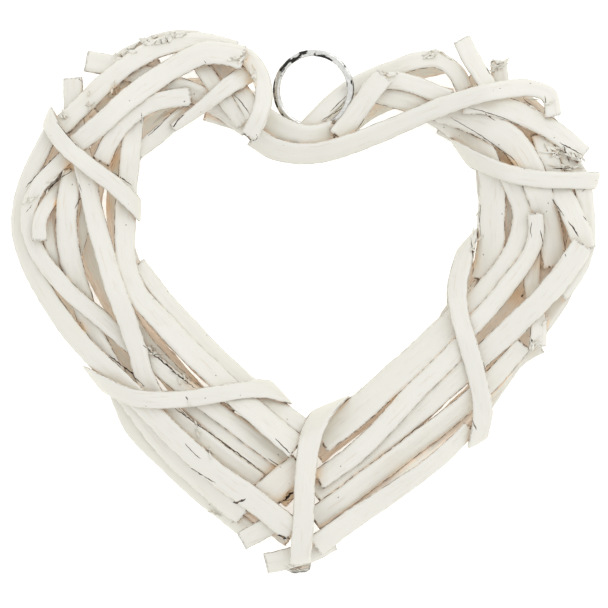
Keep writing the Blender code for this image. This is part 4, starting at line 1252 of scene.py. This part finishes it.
class WreathCanes(PropertyGroup):
    step: FloatProperty(
        name="Step", description="Distance between a fine cane's cross-sections",
        default=0.9 * MM, min=0.3 * MM, max=4 * MM, subtype="DISTANCE", unit="LENGTH")
    waver: FloatProperty(
        name="Waver", description="How far a cane's edges waver, as a share of its half width",
        default=0.045, min=0.0, max=0.2, subtype="FACTOR")
    fullness: FloatProperty(
        name="Fullness", description="A front cane's width as a share of its solid's",
        default=1.12, min=0.8, max=1.3, subtype="FACTOR")
    ragged: FloatProperty(
        name="Ragged ends", description="How far the fibres at a cane's ends stand out",
        default=0.45 * MM, min=0.0, max=2 * MM, subtype="DISTANCE", unit="LENGTH")


class WreathPaint(PropertyGroup):
    white: FloatVectorProperty(
        name="White wash", description="Colour of the paint where it lies thick",
        default=(0.71, 0.697, 0.642), min=0, max=1, size=3, subtype="COLOR")
    # Also the painted shade deep in the heart, on faces that don't look up and where other canes shelter
    # a cane
    thin: FloatVectorProperty(
        name="Thin wash", description="Colour of the paint where it lies thin",
        default=(0.70, 0.685, 0.60), min=0, max=1, size=3, subtype="COLOR")
    wood: FloatVectorProperty(
        name="Willow", description="Colour of the bare wood",
        default=(0.87, 0.76, 0.63), min=0, max=1, size=3, subtype="COLOR")
    dark_wood: FloatVectorProperty(
        name="Dark willow", description="Colour of the bare wood's dark streaks",
        default=(0.68, 0.56, 0.45), min=0, max=1, size=3, subtype="COLOR")
    # Painted shade laid in the crevices where two canes press on each other
    contact_shade: FloatVectorProperty(
        name="Contact Shade", description="Colour where two canes press on each other",
        default=(0.05, 0.03, 0.02), min=0, max=1, size=3, subtype="COLOR")
    # Partly painted shade: the edge lines darken where a cane is sheltered; the specks are the wood's own
    line: FloatVectorProperty(
        name="Line", description="Colour of the broken lines at the canes' edges and of specks",
        default=(0.13, 0.09, 0.06), min=0, max=1, size=3, subtype="COLOR")
    stain: FloatVectorProperty(
        name="Stain", description="Colour of the warm stains on the bare wood",
        default=(0.74, 0.47, 0.21), min=0, max=1, size=3, subtype="COLOR")
    line_behind: FloatVectorProperty(
        name="Line behind", description="Colour of the broken lines on the back canes",
        default=(0.46, 0.34, 0.25), min=0, max=1, size=3, subtype="COLOR")
    cover: FloatProperty(
        name="Cover", description="Shelter at which the front canes' paint starts to thin out",
        default=0.55, min=0, max=1, subtype="FACTOR")
    cover_behind: FloatProperty(
        name="Cover behind", description="Shelter at which the back canes' paint starts to thin out",
        default=0.47, min=0, max=1, subtype="FACTOR")
    # Painted light: the glow stands in for the light that the canes throw on each other
    glow: FloatProperty(
        name="Glow", description="Light that the pale canes throw on each other",
        default=0.06, min=0, max=1, subtype="FACTOR")
    glow_behind: FloatProperty(
        name="Glow behind", description="Light that the pale canes in front throw on the back canes",
        default=0.22, min=0, max=1, subtype="FACTOR")
    shelter_reach: FloatProperty(
        name="Shelter reach", description="How near a cane has to be to shelter another",
        default=22 * MM, min=1 * MM, max=60 * MM, subtype="DISTANCE", unit="LENGTH")
    rays: IntProperty(
        name="Rays", description="Directions looked along to find the shelter of a corner",
        default=24, min=8, max=128)


class WreathStage(PropertyGroup):
    floor: FloatVectorProperty(
        name="Floor", description="Colour of the floor",
        default=(0.95, 0.95, 0.95), min=0, max=1, size=3, subtype="COLOR")
    sky: FloatProperty(
        name="Sky", description="Strength of the light from all round",
        default=1.0, min=0, max=10)
    distance: FloatProperty(
        name="Camera distance", description="How far above the heart the camera stands",
        default=2.0, min=0.3, max=10, subtype="DISTANCE", unit="LENGTH")


# Operators

class WREATH_OT_left_lobe(Operator):
    """Dress the canes of the left lobe and leg"""
    bl_idname = "wreath.left_lobe"
    bl_label = "Left lobe canes"

    def execute(self, context):
        dress_front(LEFT_LOBE)
        return {"FINISHED"}


class WREATH_OT_crown(Operator):
    """Dress the crown canes that run from the left lobe into the notch"""
    bl_idname = "wreath.crown"
    bl_label = "Crown canes"

    def execute(self, context):
        dress_front(CROWN)
        return {"FINISHED"}


class WREATH_OT_neck(Operator):
    """Dress the canes that cross at the notch"""
    bl_idname = "wreath.neck"
    bl_label = "Neck canes"

    def execute(self, context):
        dress_front(NECK)
        return {"FINISHED"}


class WREATH_OT_right_lobe(Operator):
    """Dress the canes of the right lobe"""
    bl_idname = "wreath.right_lobe"
    bl_label = "Right lobe canes"

    def execute(self, context):
        dress_front(RIGHT_LOBE)
        return {"FINISHED"}


class WREATH_OT_right_leg(Operator):
    """Dress the canes of the right leg and the tip"""
    bl_idname = "wreath.right_leg"
    bl_label = "Right leg and tip canes"

    def execute(self, context):
        dress_front(RIGHT_LEG + TIP)
        return {"FINISHED"}


class WREATH_OT_back(Operator):
    """Dress the canes behind the hollow limb"""
    bl_idname = "wreath.back"
    bl_label = "Back canes"

    def execute(self, context):
        dress_canes(BACK, finish_of("back"))
        return {"FINISHED"}


class WREATH_OT_wraps(Operator):
    """Dress the five wraps"""
    bl_idname = "wreath.wraps"
    bl_label = "Wraps"

    def execute(self, context):
        dress_canes(WRAPS, finish_of("white"))
        return {"FINISHED"}


class WREATH_OT_tucked(Operator):
    """Tuck thin canes into the hollow under the front ones"""
    bl_idname = "wreath.tucked"
    bl_label = "Tucked canes"

    def execute(self, context):
        tree = woven_tree()
        step = context.scene.wreath_canes.step
        for name, (width, route) in TUCKED_CANES.items():
            path = tucked_path(tree, route, TUCKED_THICKNESS)
            stations = strip_stations(path, width * GRID, TUCKED_THICKNESS)
            willow_piece(name, [willow_strip(name, stations, step, 1.0)], finish_of("white"))
        return {"FINISHED"}


class WREATH_OT_torn(Operator):
    """Stand torn fibres and scraps of bark off the canes"""
    bl_idname = "wreath.torn"
    bl_label = "Torn fibres"

    def execute(self, context):
        tree = woven_tree()
        rng = np.random.default_rng(TORN_SEED)
        strips = []
        for number, (route, count, length, width) in enumerate(TORN_PLACES):
            line = smooth_plan(route, TORN_STEP)
            for chip in range(count):
                name = "torn %d %d" % (number, chip)
                strip = torn_strip(tree, rng, name, line, length * GRID, width * GRID)
                if strip is not None:
                    strips.append(strip)
        willow_piece("torn_fibres", strips, finish_of("white"), TORN_SHELTER)
        return {"FINISHED"}


class WREATH_OT_paint(Operator):
    """Work out where the wash reached each cane, where the wood stayed bare and where shade is painted"""
    bl_idname = "wreath.paint"
    bl_label = "Paint the canes"

    def execute(self, context):
        paint_canes()
        return {"FINISHED"}


class WREATH_OT_cracks_and_shade_lines(Operator):
    """Lay the cracks, and the dark seams as painted shade, on the canes"""
    bl_idname = "wreath.cracks"
    bl_label = "Cracks"

    def execute(self, context):
        tree = woven_tree()
        corners, faces, start = [], [], 0
        # Dark slivers along cracks, and as painted shade along the seams between canes
        for number, (width, route) in enumerate(CRACKS_AND_SHADE_LINES):
            path = laid_route(tree, route)
            if len(path) >= CRACK_POINTS:
                sliver = sliver_surface(path, width * GRID, number)
                faces += [[start + i for i in face] for face in strip_faces(*sliver.shape[:2])]
                corners.append(sliver.reshape(-1, 3))
                start += len(corners[-1])
        piece = piece_from("cracks", np.concatenate(corners), faces, finish_of("crack_and_shade"))
        return {"FINISHED"}


class WREATH_OT_ring(Operator):
    """Wind the split ring's two turns of wire"""
    bl_idname = "wreath.ring"
    bl_label = "Split ring"

    def execute(self, context):
        surface, grain, reflection_streak = ring_surface()
        faces = strip_faces(*surface.shape[:2])
        piece = piece_from("split_ring", surface.reshape(-1, 3), faces, finish_of("ring"))
        grain_map(piece.data, grain.reshape(-1, 2))
        # The painted dark reflections, for the plating to read
        store(piece.data, "reflection_streak", reflection_streak)
        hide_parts(RING)
        return {"FINISHED"}


class WREATH_OT_stage(Operator):
    """Set the floor, the light and the camera"""
    bl_idname = "wreath.stage"
    bl_label = "Stage"

    def execute(self, context):
        settings = context.scene.wreath_stage
        lay_floor(settings.floor)
        hang_lights(settings.sky)
        stand_camera(settings.distance)
        context.scene.view_settings.view_transform = "Standard"
        return {"FINISHED"}


class WREATH_PT_panel(Panel):
    """Lists the wreath's settings and the steps that dress it"""
    bl_idname = "WREATH_PT_panel"
    bl_label = "Willow heart wreath"
    bl_space_type = "VIEW_3D"
    bl_region_type = "UI"
    bl_category = "Wreath"

    def draw(self, context):
        for group in (context.scene.wreath_canes, context.scene.wreath_paint, context.scene.wreath_stage):
            box = self.layout.box()
            for name in group.__annotations__:
                box.prop(group, name)
        for step in STEPS:
            self.layout.operator(step.bl_idname)


STEPS = (
    WREATH_OT_left_lobe, WREATH_OT_crown, WREATH_OT_neck, WREATH_OT_right_lobe, WREATH_OT_right_leg,
    WREATH_OT_back, WREATH_OT_wraps, WREATH_OT_tucked, WREATH_OT_torn, WREATH_OT_paint,
    WREATH_OT_cracks_and_shade_lines, WREATH_OT_ring, WREATH_OT_stage,
)
GROUPS = {"wreath_canes": WreathCanes, "wreath_paint": WreathPaint, "wreath_stage": WreathStage}


def register():
    for group in GROUPS.values():
        bpy.utils.register_class(group)
    for name, group in GROUPS.items():
        setattr(bpy.types.Scene, name, PointerProperty(type=group))
    for step in STEPS + (WREATH_PT_panel,):
        bpy.utils.register_class(step)


def unregister():
    for step in (WREATH_PT_panel,) + STEPS[::-1]:
        bpy.utils.unregister_class(step)
    for name in GROUPS:
        delattr(bpy.types.Scene, name)
    for group in GROUPS.values():
        bpy.utils.unregister_class(group)


def main():
    register()
    bpy.ops.wreath.left_lobe()
    bpy.ops.wreath.crown()
    bpy.ops.wreath.neck()
    bpy.ops.wreath.right_lobe()
    bpy.ops.wreath.right_leg()
    bpy.ops.wreath.back()
    bpy.ops.wreath.wraps()
    bpy.ops.wreath.tucked()
    bpy.ops.wreath.torn()
    bpy.ops.wreath.paint()
    bpy.ops.wreath.cracks()
    bpy.ops.wreath.ring()
    bpy.ops.wreath.stage()


if __name__ == "__main__":
    main()
